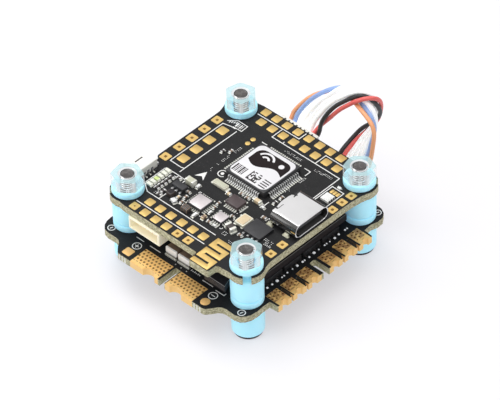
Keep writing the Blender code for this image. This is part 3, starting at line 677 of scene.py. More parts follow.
def spin(outline, degrees, mid_x, mid_y):
    cos, sin = math.cos(math.radians(degrees)), math.sin(math.radians(degrees))
    return [(mid_x + (x - mid_x) * cos - (y - mid_y) * sin,
             mid_y + (x - mid_x) * sin + (y - mid_y) * cos) for x, y in outline]


def mitre(before, after, limit):
    """Offset at a corner for a unit shift to the left of both edge directions."""
    first = Vector((-before.y, before.x))
    second = Vector((-after.y, after.x))
    return (first + second) / max(1 + first.dot(second), limit)


def inset(outline, distance):
    """Outline moved inwards."""
    moved = []
    count = len(outline)
    for k in range(count):
        before, here, after = (Vector(outline[k - 1]), Vector(outline[k]),
                               Vector(outline[(k + 1) % count]))
        shift = mitre((here - before).normalized(), (after - here).normalized(), 0.3)
        moved.append((here.x + shift.x * distance, here.y + shift.y * distance))
    return moved


def placed(origin, out, along, points):
    """Points given as (distance out, distance along) from an origin."""
    return [(origin[0] + out[0] * p + along[0] * q, origin[1] + out[1] * p + along[1] * q)
            for p, q in points]


def four_sides():
    """Outward and sideways directions of a square package's sides."""
    for k in range(4):
        angle = math.radians(90 * k)
        out = (math.cos(angle), math.sin(angle))
        yield k, out, (-out[1], out[0])


def turned_ring(x, y, z, radius, count):
    """Ring of points about a vertical axis; radius is a number or a function of angle."""
    ring = []
    for k in range(count):
        angle = 2 * math.pi * k / count
        reach = radius(angle) if callable(radius) else radius
        ring.append((x + reach * math.cos(angle), y + reach * math.sin(angle), z))
    return ring


# ---- mesh builder ----------------------------------------------------------------------
class Part:
    """A mesh under construction."""

    def __init__(self):
        self.verts = []
        self.faces = []
        self.face_slots = []
        self.materials = []

    def slot(self, material):
        if material not in self.materials:
            self.materials.append(material)
        return self.materials.index(material)

    def face(self, corners, slot):
        self.faces.append(corners)
        self.face_slots.append(slot)

    def loft(self, rings, material, looped=False, top_material=None):
        """Skin through rings of equal length. Looped joins last to first; else it is capped."""
        start = len(self.verts)
        count = len(rings[0])
        slot = self.slot(material)
        for ring in rings:
            self.verts += ring
        for k in range(len(rings) if looped else len(rings) - 1):
            this = start + k * count
            following = start + (k + 1) % len(rings) * count
            for j in range(count):
                i = (j + 1) % count
                self.face([this + j, this + i, following + i, following + j], slot)
        if not looped:
            last = start + (len(rings) - 1) * count
            self.face(list(range(start + count - 1, start - 1, -1)), slot)
            self.face(list(range(last, last + count)),
                      self.slot(top_material) if top_material else slot)

    def stack(self, outlines, heights, material, looped=False, top_material=None):
        """Solid through outlines at the given heights."""
        rings = [[(x, y, z) for x, y in line] for line, z in zip(outlines, heights)]
        self.loft(rings, material, looped, top_material)

    def prism(self, outline, bottom, top, material):
        self.stack([outline, outline], [bottom, top], material)

    def chamfer(self, outline, bottom, top, edge, material, low=False):
        """Prism with its upper edge (and lower, if low) softened."""
        small, full = inset(outline, edge * 0.3), inset(outline, edge)
        outlines = [outline, small, full]
        heights = [top - edge, top - edge * 0.3, top]
        if low:
            self.stack([full, small, outline] + outlines,
                       [bottom, bottom + edge * 0.3, bottom + edge] + heights, material)
        else:
            self.stack([outline] + outlines, [bottom] + heights, material)

    def box(self, left, right, front, back, bottom, top, material, edge=0.05, corner=None,
            low=False):
        corner = min(edge if corner is None else corner, (right - left) / 2.2,
                     (back - front) / 2.2)
        self.chamfer(round_rect(left, right, front, back, corner, 2), bottom, top,
                     min(edge, corner * 0.98, (top - bottom) / 2.2), material, low)

    def on_fc(self, left, right, front, back, height, material, edge=0.05, low=False):
        """Box standing on the flight controller."""
        self.box(left, right, front, back, FC_SEAT, FC_TOP + height, material, edge, low=low)

    def ring(self, outer, inner, bottom, top, material):
        self.stack([outer, outer, inner, inner], [bottom, top, top, bottom], material,
                   looped=True)

    def ribbon(self, path, width, bottom, top, material, closed=False):
        """Mitred flat band along a path."""
        points = [Vector(point) for point in path]
        count = len(points)
        left, right = [], []
        for k, here in enumerate(points):
            if closed:
                before, after = points[k - 1], points[(k + 1) % count]
            else:
                before, after = points[max(k - 1, 0)], points[min(k + 1, count - 1)]
            arrive, leave = here - before, after - here
            into = arrive.normalized() if arrive.length > 1e-6 else leave.normalized()
            away = leave.normalized() if leave.length > 1e-6 else into
            shift = mitre(into, away, 0.35)
            left.append(tuple(here + shift * width / 2))
            right.append(tuple(here - shift * width / 2))
        if closed:
            self.ring(right, left, bottom, top, material)
            return
        start = len(self.verts)
        slot = self.slot(material)
        for z in (bottom, top):
            for pair in zip(left, right):
                self.verts += [(x, y, z) for x, y in pair]
        up = 2 * count      # from a lower vertex to the one above it
        for k in range(count - 1):
            a = start + 2 * k
            b, c, d = a + 1, a + 2, a + 3
            self.face([a, c, d, b], slot)
            self.face([a + up, b + up, d + up, c + up], slot)
            self.face([a, a + up, c + up, c], slot)
            self.face([b, d, d + up, b + up], slot)
        end = start + 2 * (count - 1)
        self.face([start, start + 1, start + 1 + up, start + up], slot)
        self.face([end, end + up, end + 1 + up, end + 1], slot)

    def build(self, name, body="stack", slot=None, nodes=(), angle=32.0):
        """Make the object; edges sharper than the angle (degrees) stay crisp."""
        mesh = bpy.data.meshes.new(name)
        mesh.from_pydata([(x * MM, (y + CENTRE_Y) * MM, z * MM) for x, y, z in self.verts],
                         [], self.faces)
        for material in self.materials:
            mesh.materials.append(material)
        mesh.polygons.foreach_set("material_index", self.face_slots)
        mesh.validate()
        work = bmesh.new()
        work.from_mesh(mesh)
        bmesh.ops.recalc_face_normals(work, faces=work.faces)
        work.to_mesh(mesh)
        work.free()
        mesh.shade_smooth()
        mesh.set_sharp_from_angle(angle=math.radians(angle))
        built = bpy.data.objects.new(name, mesh)
        bpy.context.scene.collection.objects.link(built)
        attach(built, body)
        if nodes:
            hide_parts(*nodes)


class Legend(Part):
    """Ink printed on a board."""

    def __init__(self, board_top):
        super().__init__()
        self.bottom = board_top - SUNK
        self.top = board_top + 0.012

    def shape(self, outline, proud=0.0):
        self.prism(outline, self.bottom, self.top + proud, SILK)

    def line(self, path, width=0.17, closed=False):
        self.ribbon(path, width, self.bottom, self.top, SILK, closed)

    def hoop(self, x, y, radius, steps):
        self.ring(circle(x, y, radius, steps), circle(x, y, radius - 0.17, steps),
                  self.bottom, self.top, SILK)


# ---- CAD nodes that stay ---------------------------------------------------------------
def paint(material, *nodes):
    for node in nodes:
        mesh = NODES[node].data
        mesh.materials.clear()
        mesh.materials.append(material)


paint(fc_board_look(), "fc_board")
paint(esc_board_look(), "esc_board")
paint(PAD_GREY, "thermal_pad")
paint(EPOXY, "usb_c_tongue", "boot_button_body", *TRANSISTORS)
paint(WHITE, "boot_button_plunger", "side_connector")
paint(CREAM, "front_connector", "fc_cable_socket", "esc_cable_socket")

# ---- pads of the flight controller -----------------------------------------------------
PAD_TOP = FC_TOP + 0.035
PAD_EDGE = 0.02
pads = Part()


def flat_pad(outline):
    pads.chamfer(outline, FC_TOP - SUNK, PAD_TOP, PAD_EDGE, GOLD)


def square_pad(x, y, size, hole=0.0):
    """Square pad, with a plated hole of the given radius if any."""
    outline = round_rect(x - size / 2, x + size / 2, y - size / 2, y + size / 2,
                         size * 0.14, 5)
    if not hole:
        flat_pad(outline)
        return
    inner = []
    for pad_x, pad_y in outline:
        angle = math.atan2(pad_y - y, pad_x - x)
        inner.append((x + hole * math.cos(angle), y + hole * math.sin(angle)))
    pads.ring(outline, inner, FC_TOP - SUNK, PAD_TOP - 0.008, GOLD)
    pads.ring(inset(outline, 0.03), inner, PAD_TOP - 0.008, PAD_TOP, GOLD)
    # painted shade: a dark copper disc stands in for the inside of the hole
    pads.prism(circle(x, y, hole, 16), FC_TOP - SUNK, FC_TOP + 0.004, HOLE_COPPER_AND_SHADE)


WIRE_HOLE = 0.36
for x in (-11.1, -8.3, -5.55, -2.78, 0.04, 2.82, 5.53, 8.24):
    square_pad(x, 17.75, 1.72)
for x in (-9.87, -7.01, -4.18, -1.48, 1.36, 4.11, 6.93, 9.61):
    square_pad(x, 15.12, 1.72)
for y in (9.97, 6.53, 3.12, -0.33, -3.99):
    square_pad(-16.52, y, 1.85, WIRE_HOLE)
for y in (8.45, 4.89, 1.35, -2.12):
    square_pad(-13.66, y, 2.0)
for x, hole in ((-11.15, 0.22), (-8.45, 0), (-5.69, 0), (-2.92, 0), (-0.06, WIRE_HOLE),
                (2.68, WIRE_HOLE)):
    square_pad(x, -17.62, 1.72, hole)
for x in (-9.76, -7.06, -4.31, -1.5, 1.28, 4.01):
    square_pad(x, -14.97, 1.72)
for x, y in ((16.3, -6.85), (16.38, -10.01), (16.65, 6.27), (16.6, 8.95), (16.69, 11.37)):
    square_pad(x, y, 1.70, WIRE_HOLE)
for y in (9.04, 10.52):
    flat_pad(circle(-7.63, y, 0.52, 24))
# three narrow pads in a row behind the square light
for x in (12.93, 13.65, 14.37):
    flat_pad(round_rect(x, x + 0.60, 9.42, 10.42, 0.08))

# meander antenna: five bars joined at alternate ends, listed by the bars' back and front
BAR_LEFT, BAR_RIGHT = 6.33, 10.72
BAR_Y = (-13.45, -14.54, -15.03, -16.06, -16.55, -17.70, -18.19, -19.34, -19.83, -20.98)
SLOT_REACH = 3.35
right_edge, left_edge = [], []
for k in range(4):
    back, front = BAR_Y[2 * k + 1], BAR_Y[2 * k + 2]
    edge, mouth, end = ((right_edge, BAR_RIGHT, BAR_RIGHT - SLOT_REACH) if k % 2 == 0
                        else (left_edge, BAR_LEFT, BAR_LEFT + SLOT_REACH))
    edge += [(mouth, back), (end, back), (end, front), (mouth, front)]
meander = ([(BAR_LEFT, BAR_Y[0]), (BAR_RIGHT - 1.0, BAR_Y[0]), (BAR_RIGHT, BAR_Y[0] - 1.0)]
           + right_edge + [(BAR_RIGHT, BAR_Y[9]), (BAR_LEFT, BAR_Y[9])] + left_edge[::-1])
pads.chamfer(meander[::-1], FC_TOP - SUNK, PAD_TOP + 0.015, 0.03, GOLD)
pads.build("fc_gold_pads", slot="circuit_board")

# ---- printed legend on the flight controller -------------------------------------------
# line width, path
FRONT_LEFT_LINES = (
    (0.19, [(-12.0, -16.28), (5.55, -16.34)]),
    (0.18, [(-14.30, -11.75), (-13.14, -12.62), (-12.2, -13.2), (5.45, -13.22)]),
    (0.17, [(-9.25, -13.08), (-9.2, -10.3)]),
    (0.19, [(-15.13, -0.75), (-15.05, 10.03), (-13.2, 10.45), (-12.2, 10.45)]),
    (0.19, [(-15.13, -0.75), (-15.1, -4.15), (-12.2, -4.2), (-11.57, -4.0), (-11.5, 10.1)]),
    (0.17, [(-11.55, -4.1), (-11.55, -5.3)]),
    # round the row of lights
    (0.17, [(-14.30, -6.26), (-14.30, -11.62)]),
    (0.17, [(-14.30, -6.15), (-11.55, -6.1), (-9.1, -6.2), (-9.05, -7.4)]),
    (0.15, [(-11.5, -6.75), (-9.55, -6.75)]),
    # round the bars in the left back corner
    (0.17, [(-15.0, 11.15), (-13.4, 12.5), (-10.9, 12.45), (-10.85, 10.7), (-13.0, 10.6)]),
)
BACK_LINES = (
    (0.19, [(-12.05, 16.42), (-1.35, 16.46), (-1.30, 18.5)]),
    (0.19, [(-5.5, 16.44), (-5.5, 13.45), (8.3, 13.45), (11.85, 13.4), (11.9, 6.0)]),
    (0.19, [(5.6, 13.5), (5.62, 16.42), (10.6, 16.40)]),
    (0.15, [(-2.75, 13.5), (-2.78, 14.0)]),
)
silk = Legend(FC_TOP)
for width, path in FRONT_LEFT_LINES:
    silk.line(path, width)
for x, width in ((-12.9, 0.34), (-12.35, 0.12), (-11.95, 0.24), (-11.5, 0.12)):
    silk.shape(round_rect(x, x + width, 10.95, 12.1, 0.05))
for k in range(4):
    silk.shape(round_rect(-14.5 + 0.42 * k, -14.3 + 0.42 * k, 11.0 + 0.2 * k,
                          11.55 + 0.2 * k, 0.04))
for width, path in BACK_LINES:
    silk.line(path, width)
# box about the square light
silk.line([(12.33, 6.0), (12.33, 10.95), (15.25, 10.9), (15.28, 6.0)], 0.19, closed=True)
silk.line([(11.9, 6.0), (12.33, 6.0)])
# direction arrow
silk.shape([(-8.86, -4.10), (-7.62, -3.35), (-6.62, -4.12), (-7.72, -1.85)])
# corner marks round the processor, and its first-pin dot and ring
mark_right, mark_front, mark_back = 0.3 + 6.25, 4.9 - 6.25, 4.9 + 6.25
silk.line([(mark_right, mark_back - 1.5), (mark_right, mark_back),
           (mark_right - 1.5, mark_back)], 0.18)
silk.line([(mark_right - 1.2, mark_front), (mark_right, mark_front),
           (mark_right, mark_front + 1.2)], 0.18)
silk.line([(-5.95, 11.15), (-4.6, 11.15)], 0.18)
silk.shape(circle(-5.3, -0.25, 0.36, 20))
silk.line(arc(-5.3, -0.25, 0.86, 75, 330, 20), 0.20)


def ticks(x, y, columns, rows, step_x, step_y, width, height, seed):
    """Rows of short printed dashes, with gaps."""
    draw = random.Random(seed)
    for i in range(columns):
        for j in range(rows):
            if draw.random() < 0.22:
                continue
            left, front = x + i * step_x, y + j * step_y
            if draw.random() < 0.5:
                silk.shape(round_rect(left, left + width, front,
                                      front + height * draw.uniform(0.5, 1.0),
                                      min(width, height * 0.5) * 0.3, 1))
            else:
                silk.shape(round_rect(left, left + width * 1.6, front, front + height * 0.28,
                                      min(width, height * 0.28) * 0.3, 1))


# x, y, columns, rows, step x, step y, dash width, dash height, seed
for row in (
        (-7.95, -1.15, 2, 3, 0.36, 0.36, 0.13, 0.24, 1),
        (-8.0, 1.0, 2, 9, 0.34, 0.40, 0.13, 0.24, 2),
        (-7.9, 5.6, 2, 5, 0.34, 0.38, 0.13, 0.24, 3),
        (-1.0, 12.1, 12, 2, 0.36, 0.36, 0.14, 0.26, 4),
        (6.7, 11.9, 7, 2, 0.34, 0.34, 0.13, 0.24, 5),
        (8.6, 12.2, 7, 2, 0.34, 0.34, 0.13, 0.24, 15),
        (6.75, 7.6, 2, 5, 0.36, 0.36, 0.15, 0.26, 6),
        (6.8, 3.9, 2, 4, 0.34, 0.36, 0.13, 0.24, 7),
        (11.4, -8.2, 10, 2, 0.36, 0.42, 0.14, 0.30, 8),
        (13.6, -9.1, 5, 2, 0.36, 0.42, 0.16, 0.34, 9),
        (13.0, -12.0, 3, 4, 0.40, 0.44, 0.16, 0.34, 10),
        (5.9, -12.2, 3, 3, 0.36, 0.36, 0.14, 0.26, 11),
        (13.0, 11.4, 4, 2, 0.36, 0.36, 0.15, 0.28, 12),
        (-11.2, -12.6, 4, 2, 0.4, 0.4, 0.14, 0.28, 13),
        (8.2, -13.1, 3, 2, 0.36, 0.4, 0.14, 0.26, 14)):
    ticks(*row)
silk.build("fc_legend", slot="circuit_board")

# ---- small vias ------------------------------------------------------------------------
VIA_FREE = ("mcu", "motion_sensor", "video_chip", "radio_chip", "memory_chip",
            "crystal_main", "crystal_small", "filter_capacitor", "usb_c_shell")


def under_part(x, y):
    for node in VIA_FREE:
        cad = cad_box(node)
        margin = 1.5 if node == "mcu" else 0.6
        if (cad.left - margin < x < cad.right + margin
                and cad.front - margin < y < cad.back + margin):
            return True
    return False


vias = Part()
for k in range(90):
    x, y = scatter.uniform(-11.0, 11.4), scatter.uniform(-12.6, 12.8)
    if not under_part(x, y):
        vias.ring(circle(x, y, 0.17, 12), circle(x, y, 0.08, 12), FC_TOP - SUNK,
                  FC_TOP + 0.006, ANODISED)
vias.build("fc_tented_vias", slot="circuit_board")

# ---- processor package -----------------------------------------------------------------
# side view of a bent lead: distance out from the package wall, height
LEAD = [(-0.10, 0.76), (0.34, 0.76), (0.44, 0.68), (0.60, 0.10), (0.67, 0.05), (1.06, 0.045),
        (1.06, -0.075), (0.58, -0.07), (0.50, -0.01), (0.35, 0.57), (0.28, 0.63),
        (-0.10, 0.63)]
LEAD_HALF_WIDTH = 0.125
LEAD_BASE = FC_TOP + 0.085
LEAD_OFFSETS = [(k - 7.5) * 0.5 for k in range(16)]     # sixteen a side, 0.5 apart
MCU = cad_box("mcu")
mcu = Part()
mcu.box(*MCU, EPOXY, edge=0.14, corner=0.30, low=True)
for _, out, along in four_sides():
    for offset in LEAD_OFFSETS:
        origin = placed((MCU.mid_x, MCU.mid_y), out, along, [(MCU.half_x, offset)])[0]
        rings = []
        for half in (-LEAD_HALF_WIDTH, LEAD_HALF_WIDTH):
            flat = placed(origin, out, along, [(reach, half) for reach, _ in LEAD])
            rings.append([(x, y, LEAD_BASE + height)
                          for (x, y), (_, height) in zip(flat, LEAD)])
        mcu.loft(rings, TIN)
mcu.build("mcu_package", slot="chip_epoxy", nodes=("mcu",))

lands = Part()
for _, out, along in four_sides():
    for offset in LEAD_OFFSETS:
        origin = placed((MCU.mid_x, MCU.mid_y), out, along, [(MCU.half_x + 0.98, offset)])[0]
        land = [(-0.55, -0.15), (0.42, -0.15), (0.42, 0.15), (-0.55, 0.15)]
        lands.prism(placed(origin, out, along, land), FC_TOP - SUNK, FC_TOP + 0.03, SOLDER)
lands.build("mcu_land_solder", slot="circuit_board")

# label on the processor: plain printed pattern of arcs, bars and a dot code
FILM_TOP = MCU.top + 0.045
INK_TOP = MCU.top + 0.052
label = Part()
label.chamfer(round_rect(MCU.left + 0.30, MCU.right - 0.30, MCU.front + 0.30,
                         MCU.back - 0.30, 1.3, 7), MCU.top - 0.01, FILM_TOP, 0.02, LABEL)


def ink(outline):
    label.prism(outline, FILM_TOP - 0.01, INK_TOP, INK)


def reversed_out(outline):
    """Film-coloured shape over the ink."""
    label.prism(outline, INK_TOP - 0.004, INK_TOP + 0.006, LABEL)


# dark field over the back half, inside a light margin, with a waved front edge
print_back = MCU.back - 0.34
field_left = MCU.left + 0.34 + 0.75
field_right = MCU.right - 0.34 - 0.35
field_back = print_back - 0.80
FIELD_CORNER = 1.6
wave = [(field_right - (field_right - field_left) * k / 40.0,
         MCU.mid_y + 0.10 + 0.85 * math.sin(k / 40.0 * 2 * math.pi)) for k in range(41)]
ink([(field_right, field_back - FIELD_CORNER)]
    + arc(field_right - FIELD_CORNER, field_back - FIELD_CORNER, FIELD_CORNER, 0, 90, 8)[1:]
    + arc(field_left + FIELD_CORNER, field_back - FIELD_CORNER, FIELD_CORNER, 90, 180, 8)
    + wave[::-1])
for inner, outer in ((0.55, 1.00), (1.55, 2.00)):
    arc_centre = (MCU.mid_x - 1.2, print_back - 2.95)
    reversed_out(arc(*arc_centre, outer, 20, 160, 24) + arc(*arc_centre, inner, 160, 20, 24))
reversed_out(circle(MCU.mid_x + 2.5, print_back - 2.3, 0.58, 24))
# front field: square dot code and bars
code = random.Random(11)
for i in range(9):
    for j in range(9):
        if i == 0 or j == 0 or code.random() < 0.5:
            x, y = MCU.mid_x - 0.6 + i * 0.28, MCU.front + 0.75 + j * 0.28
            ink(round_rect(x, x + 0.27, y, y + 0.27, 0.03, 1))
for offset, width in ((0.0, 0.30), (0.5, 0.14), (0.82, 0.22), (1.26, 0.12), (1.56, 0.34),
                      (2.06, 0.14), (2.38, 0.2)):
    x = MCU.left + 0.75 + offset
    ink(round_rect(x, x + width, MCU.front + 0.8, MCU.front + 2.9, 0.04, 1))
for k in range(4):
    ink(round_rect(MCU.mid_x + 2.55, MCU.right - 0.75, MCU.front + 0.8 + 0.62 * k,
                   MCU.front + 1.05 + 0.62 * k, 0.05, 1))
label.build("mcu_printed_label", slot="chip_epoxy")


# ---- other packages --------------------------------------------------------------------
def leadless(name, node, lands_per_side, pitch, die_rim=None, body=EPOXY, corners=True):
    """Low square package with lands round its edge; a die_rim adds a bright top inside it."""
    cad = cad_box(node)
    package = Part()
    package.box(*cad, body, edge=0.05, corner=0.06, low=True)
    if die_rim is not None:
        package.box(cad.left + die_rim, cad.right - die_rim, cad.front + die_rim,
                    cad.back - die_rim, cad.top - 0.02, cad.top + 0.02, SILICON,
                    edge=0.015, corner=0.05)
    package.prism(circle(cad.left + 0.35, cad.front + 0.35, 0.12, 14), cad.top - 0.01,
                  cad.top + 0.024, BLACK)

    def rect(near, far, mid, half):
        return [(near, mid - half), (far, mid - half), (far, mid + half), (near, mid + half)]

    centre = (cad.mid_x, cad.mid_y)
    for side, out, along in four_sides():
        wall = (cad.half_x, cad.half_y)[side % 2]
        count = lands_per_side[side % 2]
        for k in range(count):
            mid = (k - (count - 1) / 2) * pitch
            land = placed(centre, out, along,
                          rect(wall - 0.12, wall + 0.64, mid, pitch * 0.28))
            package.stack([land] * 3, [FC_TOP - SUNK, FC_TOP + 0.05, FC_TOP + 0.06], SOLDER)
            # plated foot on the package wall
            foot = placed(centre, out, along,
                          rect(wall - 0.02, wall + 0.035, mid, pitch * 0.22))
            package.prism(foot, FC_TOP + 0.04, FC_TOP + 0.26, TIN)
    package.build(name, slot="chip_epoxy", nodes=(node,))
    if corners:
        marks = Legend(FC_TOP)
        for side_x, side_y in ((1, 1), (-1, 1), (-1, -1), (1, -1)):
            x = cad.mid_x + side_x * (cad.half_x + 0.62)
            y = cad.mid_y + side_y * (cad.half_y + 0.62)
            marks.line([(x - side_x * 0.45, y), (x - side_x * 0.12, y),
                        (x, y - side_y * 0.12), (x, y - side_y * 0.45)], 0.13)
        marks.build(name + "_corner_marks", slot="circuit_board")


leadless("video_chip_package", "video_chip", (7, 7), pitch=0.47, die_rim=0.22)
leadless("radio_chip_package", "radio_chip", (4, 4), pitch=0.52, die_rim=0.08)
leadless("motion_sensor_package", "motion_sensor", (4, 6), pitch=0.50, body=EPOXY_BROWN,
         corners=False)

cad = cad_box("memory_chip")
memory = Part()
memory.box(*cad, EPOXY, edge=0.05, corner=0.08, low=True)
for k in range(4):
    x = cad.left + 0.5 + k * (cad.right - cad.left - 1.0) / 3
    for front, back in ((cad.front - 0.35, cad.front), (cad.back, cad.back + 0.35)):
        memory.box(x - 0.2, x + 0.2, front, back, FC_TOP - SUNK, FC_TOP + 0.10, TIN,
                   edge=0.03)
memory.build("memory_chip_package", slot="chip_epoxy", nodes=("memory_chip",))


def crystal(name, node, lid, end_reach, lid_inset):
    """Ceramic crystal: body, raised lid, plated ends."""
    cad = cad_box(node)
    can = Part()
    can.box(cad.left, cad.right, cad.front, cad.back, cad.bottom, cad.top - 0.12, PALE_RIM,
            edge=0.05, corner=0.18, low=True)
    can.box(cad.left + lid_inset, cad.right - lid_inset, cad.front + lid_inset,
            cad.back - lid_inset, cad.top - 0.14, cad.top, lid, edge=0.05, corner=0.16)
    if (cad.right - cad.left) > (cad.back - cad.front):
        for left, right in ((cad.left - end_reach, cad.left + 0.35),
                            (cad.right - 0.35, cad.right + end_reach)):
            can.box(left, right, cad.front + 0.1, cad.back - 0.1, FC_TOP - SUNK,
                    FC_TOP + 0.16, SOLDER)
    else:
        for front, back in ((cad.front - end_reach, cad.front + 0.5),
                            (cad.back - 0.5, cad.back + end_reach)):
            for left, right in ((cad.left - 0.1, cad.left + 0.6),
                                (cad.right - 0.6, cad.right + 0.1)):
                can.box(left, right, front, back, FC_TOP - SUNK, FC_TOP + 0.14, SOLDER)
    can.build(name, slot="ceramic_beige", nodes=(node,))


crystal("crystal_main_can", "crystal_main", TAN, end_reach=0.15, lid_inset=0.26)
crystal("crystal_small_can", "crystal_small", OLIVE, end_reach=0.45, lid_inset=0.14)

cad = cad_box("filter_capacitor")
filter_cap = Part()
filter_cap.box(cad.left + 0.32, cad.right - 0.32, cad.front + 0.02, cad.back - 0.02,
               cad.bottom, cad.top - 0.01, OLIVE, edge=0.10, low=True)
for left, right in ((cad.left, cad.left + 0.45), (cad.right - 0.45, cad.right)):
    filter_cap.box(left, right, cad.front, cad.back, FC_SEAT, cad.top, SOLDER, edge=0.10)
filter_cap.build("filter_capacitor_body", slot="ceramic_beige", nodes=("filter_capacitor",))

# ---- small parts on the flight controller ----------------------------------------------
smd = Part()


def chip(x, y, length, width, height, turn, body, ends, end_share):
    """Two-terminal part along its own X; each end cap takes end_share of the length."""
    cos, sin = math.cos(math.radians(turn)), math.sin(math.radians(turn))

    def block(left, right, half_width, bottom, top, material, edge):
        flat = round_rect(left, right, -half_width, half_width,
                          min(edge, (right - left) / 2.3, (half_width + half_width) / 2.3), 2)
        smd.chamfer([(x + p * cos - q * sin, y + p * sin + q * cos) for p, q in flat],
                    bottom, top, min(edge, (top - bottom) / 2.3), material)

    half = length / 2
    block(-half + end_share * 0.6, half - end_share * 0.6, width / 2 - 0.02, FC_SEAT + 0.03,
          FC_SEAT + height - 0.02, body, 0.04)
    cap = end_share * length
    for left, right in ((-half, -half + cap), (half - cap, half)):
        block(left, right, width / 2, FC_SEAT, FC_SEAT + height, ends, 0.06)
    for end in (-half, half):   # solder fillets
        block(end - 0.16, end + 0.16, width / 2 + 0.05, FC_SEAT, FC_SEAT + height * 0.28,
              SOLDER, 0.05)


def chips(*rows):
    """Rows of x, y, length, width, height, turn, body, ends, end share."""
    for row in rows:
        chip(*row)


# row of six indicator lights and the parts beside them
for k, y in enumerate((-6.63, -7.62, -8.66, -9.66, -10.63, -11.61)):
    chip(-13.22, y, 1.22, 0.72, 0.44, 0.0, LIME if k == 3 else PEARL, PEARL, 0.14)
for x, y, turn in ((-11.50, -7.45, 0), (-11.45, -8.50, 0), (-11.45, -9.48, 0),
                   (-11.5, -10.45, 0), (-11.5, -11.35, 0), (-10.05, -11.25, 90),
                   (-9.95, -12.3, 0), (-10.30, -6.75, 0)):
    chip(x, y, 1.10, 0.55, 0.36, turn, DARK, TIN, 0.27)
# regulator with three leads in front and three behind
smd.box(-9.75, -6.85, -9.25, -7.75, FC_TOP + 0.05, FC_TOP + 0.95, EPOXY, edge=0.08, low=True)
for k in range(3):
    x = -9.3 + k * 0.98
    smd.on_fc(x - 0.18, x + 0.18, -9.75, -9.2, 0.22, TIN, edge=0.04)
    smd.on_fc(x - 0.18, x + 0.18, -7.8, -7.3, 0.22, TIN, edge=0.04)
# shielded inductor
smd.on_fc(-9.0, -7.7, -11.55, -10.15, 0.85, DARK, edge=0.10)
smd.box(-8.85, -7.85, -11.40, -10.30, FC_TOP + 0.84, FC_TOP + 0.90, ANODISED, edge=0.03)
chips((-6.55, -11.95, 1.25, 0.9, 0.62, -20, CHALK, TIN, 0.26),
      (-6.75, -10.60, 0.95, 0.5, 0.42, 90, TAN, TIN, 0.28),
      (-6.30, -8.25, 0.85, 0.45, 0.38, 0, BROWN, TIN, 0.28),
      (-5.95, -6.05, 1.05, 0.62, 0.55, 90, CHALK, TIN, 0.28),
      (-5.75, -9.65, 0.95, 0.5, 0.40, 90, BROWN, TIN, 0.27),
      (-5.35, -11.10, 0.90, 0.5, 0.40, 90, BROWN, TIN, 0.27))
# wound power inductor
smd.on_fc(-4.05, -2.35, -12.75, -11.45, 0.95, DARK, edge=0.12, low=True)
for k in range(5):
    smd.box(-3.92 + k * 0.34, -3.78 + k * 0.34, -12.78, -11.42, FC_TOP + 0.10, FC_TOP + 0.97,
            BRIGHT if k % 2 else BROWN, edge=0.04)
chips((-1.05, -12.05, 1.30, 0.62, 0.50, 90, CHALK, TIN, 0.22),
      (0.70, -11.45, 1.05, 0.66, 0.62, 90, BROWN, TAN, 0.20),
      (-0.05, -6.75, 0.85, 0.45, 0.38, 90, BROWN, TIN, 0.28),
      (0.25, -8.10, 0.85, 0.45, 0.38, 90, BROWN, TIN, 0.28),
      (0.55, -9.55, 0.85, 0.45, 0.38, 90, CHALK, TIN, 0.28),
      (-0.35, -3.65, 1.15, 0.62, 0.5, 0, TAN, TIN, 0.27),
      (2.2, -11.55, 0.95, 0.5, 0.4, 0, BROWN, TIN, 0.28),
      (3.6, -11.6, 0.85, 0.45, 0.38, 0, CHALK, TIN, 0.28),
      (4.35, -7.55, 0.85, 0.45, 0.38, 0, BROWN, TIN, 0.28),
      # larger capacitor with bright ends, beside the main crystal
      (6.55, -10.35, 2.15, 1.30, 1.15, -14, DARK, SOLDER, 0.27),
      (9.0, -3.95, 1.1, 0.55, 0.45, 0, BROWN, TIN, 0.27),
      (8.9, -10.3, 0.95, 0.5, 0.4, 0, BROWN, TIN, 0.27),
      # at the processor's front right corner
      (5.05, -1.62, 1.75, 0.85, 0.72, 0, TAN, SOLDER, 0.22),
      (6.85, -2.05, 0.9, 0.5, 0.4, 0, CHALK, TIN, 0.28))
for x, y, turn in ((1.3, -1.95, 0), (2.9, -2.05, 0), (7.6, 2.2, 90), (7.6, 0.4, 90),
                   (8.7, 1.5, 90), (-8.3, 5.2, 90), (-9.5, 4.2, 90)):
    chip(x, y, 0.95, 0.5, 0.38, turn, BROWN if scatter.random() < 0.6 else DARK, TIN, 0.28)
# land row in front of the motion sensor
for k in range(7):
    smd.on_fc(1.10 + k * 0.52, 1.30 + k * 0.52, -6.42, -6.20, 0.04, TIN, edge=0.02)
smd.on_fc(5.05, 5.45, -6.35, -5.95, 0.05, SOLDER, edge=0.02)
for k in range(5):
    smd.on_fc(4.38, 4.60, -5.8 + k * 0.5, -5.58 + k * 0.5, 0.04, TIN, edge=0.02)
# square white light
smd.on_fc(12.98, 14.92, 6.85, 8.85, 0.50, CHALK, edge=0.06)
smd.box(13.25, 14.65, 7.12, 8.58, FC_TOP + 0.49, FC_TOP + 0.56, CHALK)
for k in range(3):
    smd.on_fc(14.86, 14.99, 7.15 + k * 0.58, 7.42 + k * 0.58, 0.45, EPOXY, edge=0.02)
smd.on_fc(13.3, 14.1, 11.15, 11.65, 0.28, CHALK)
smd.build("fc_small_parts", slot="chip_epoxy")

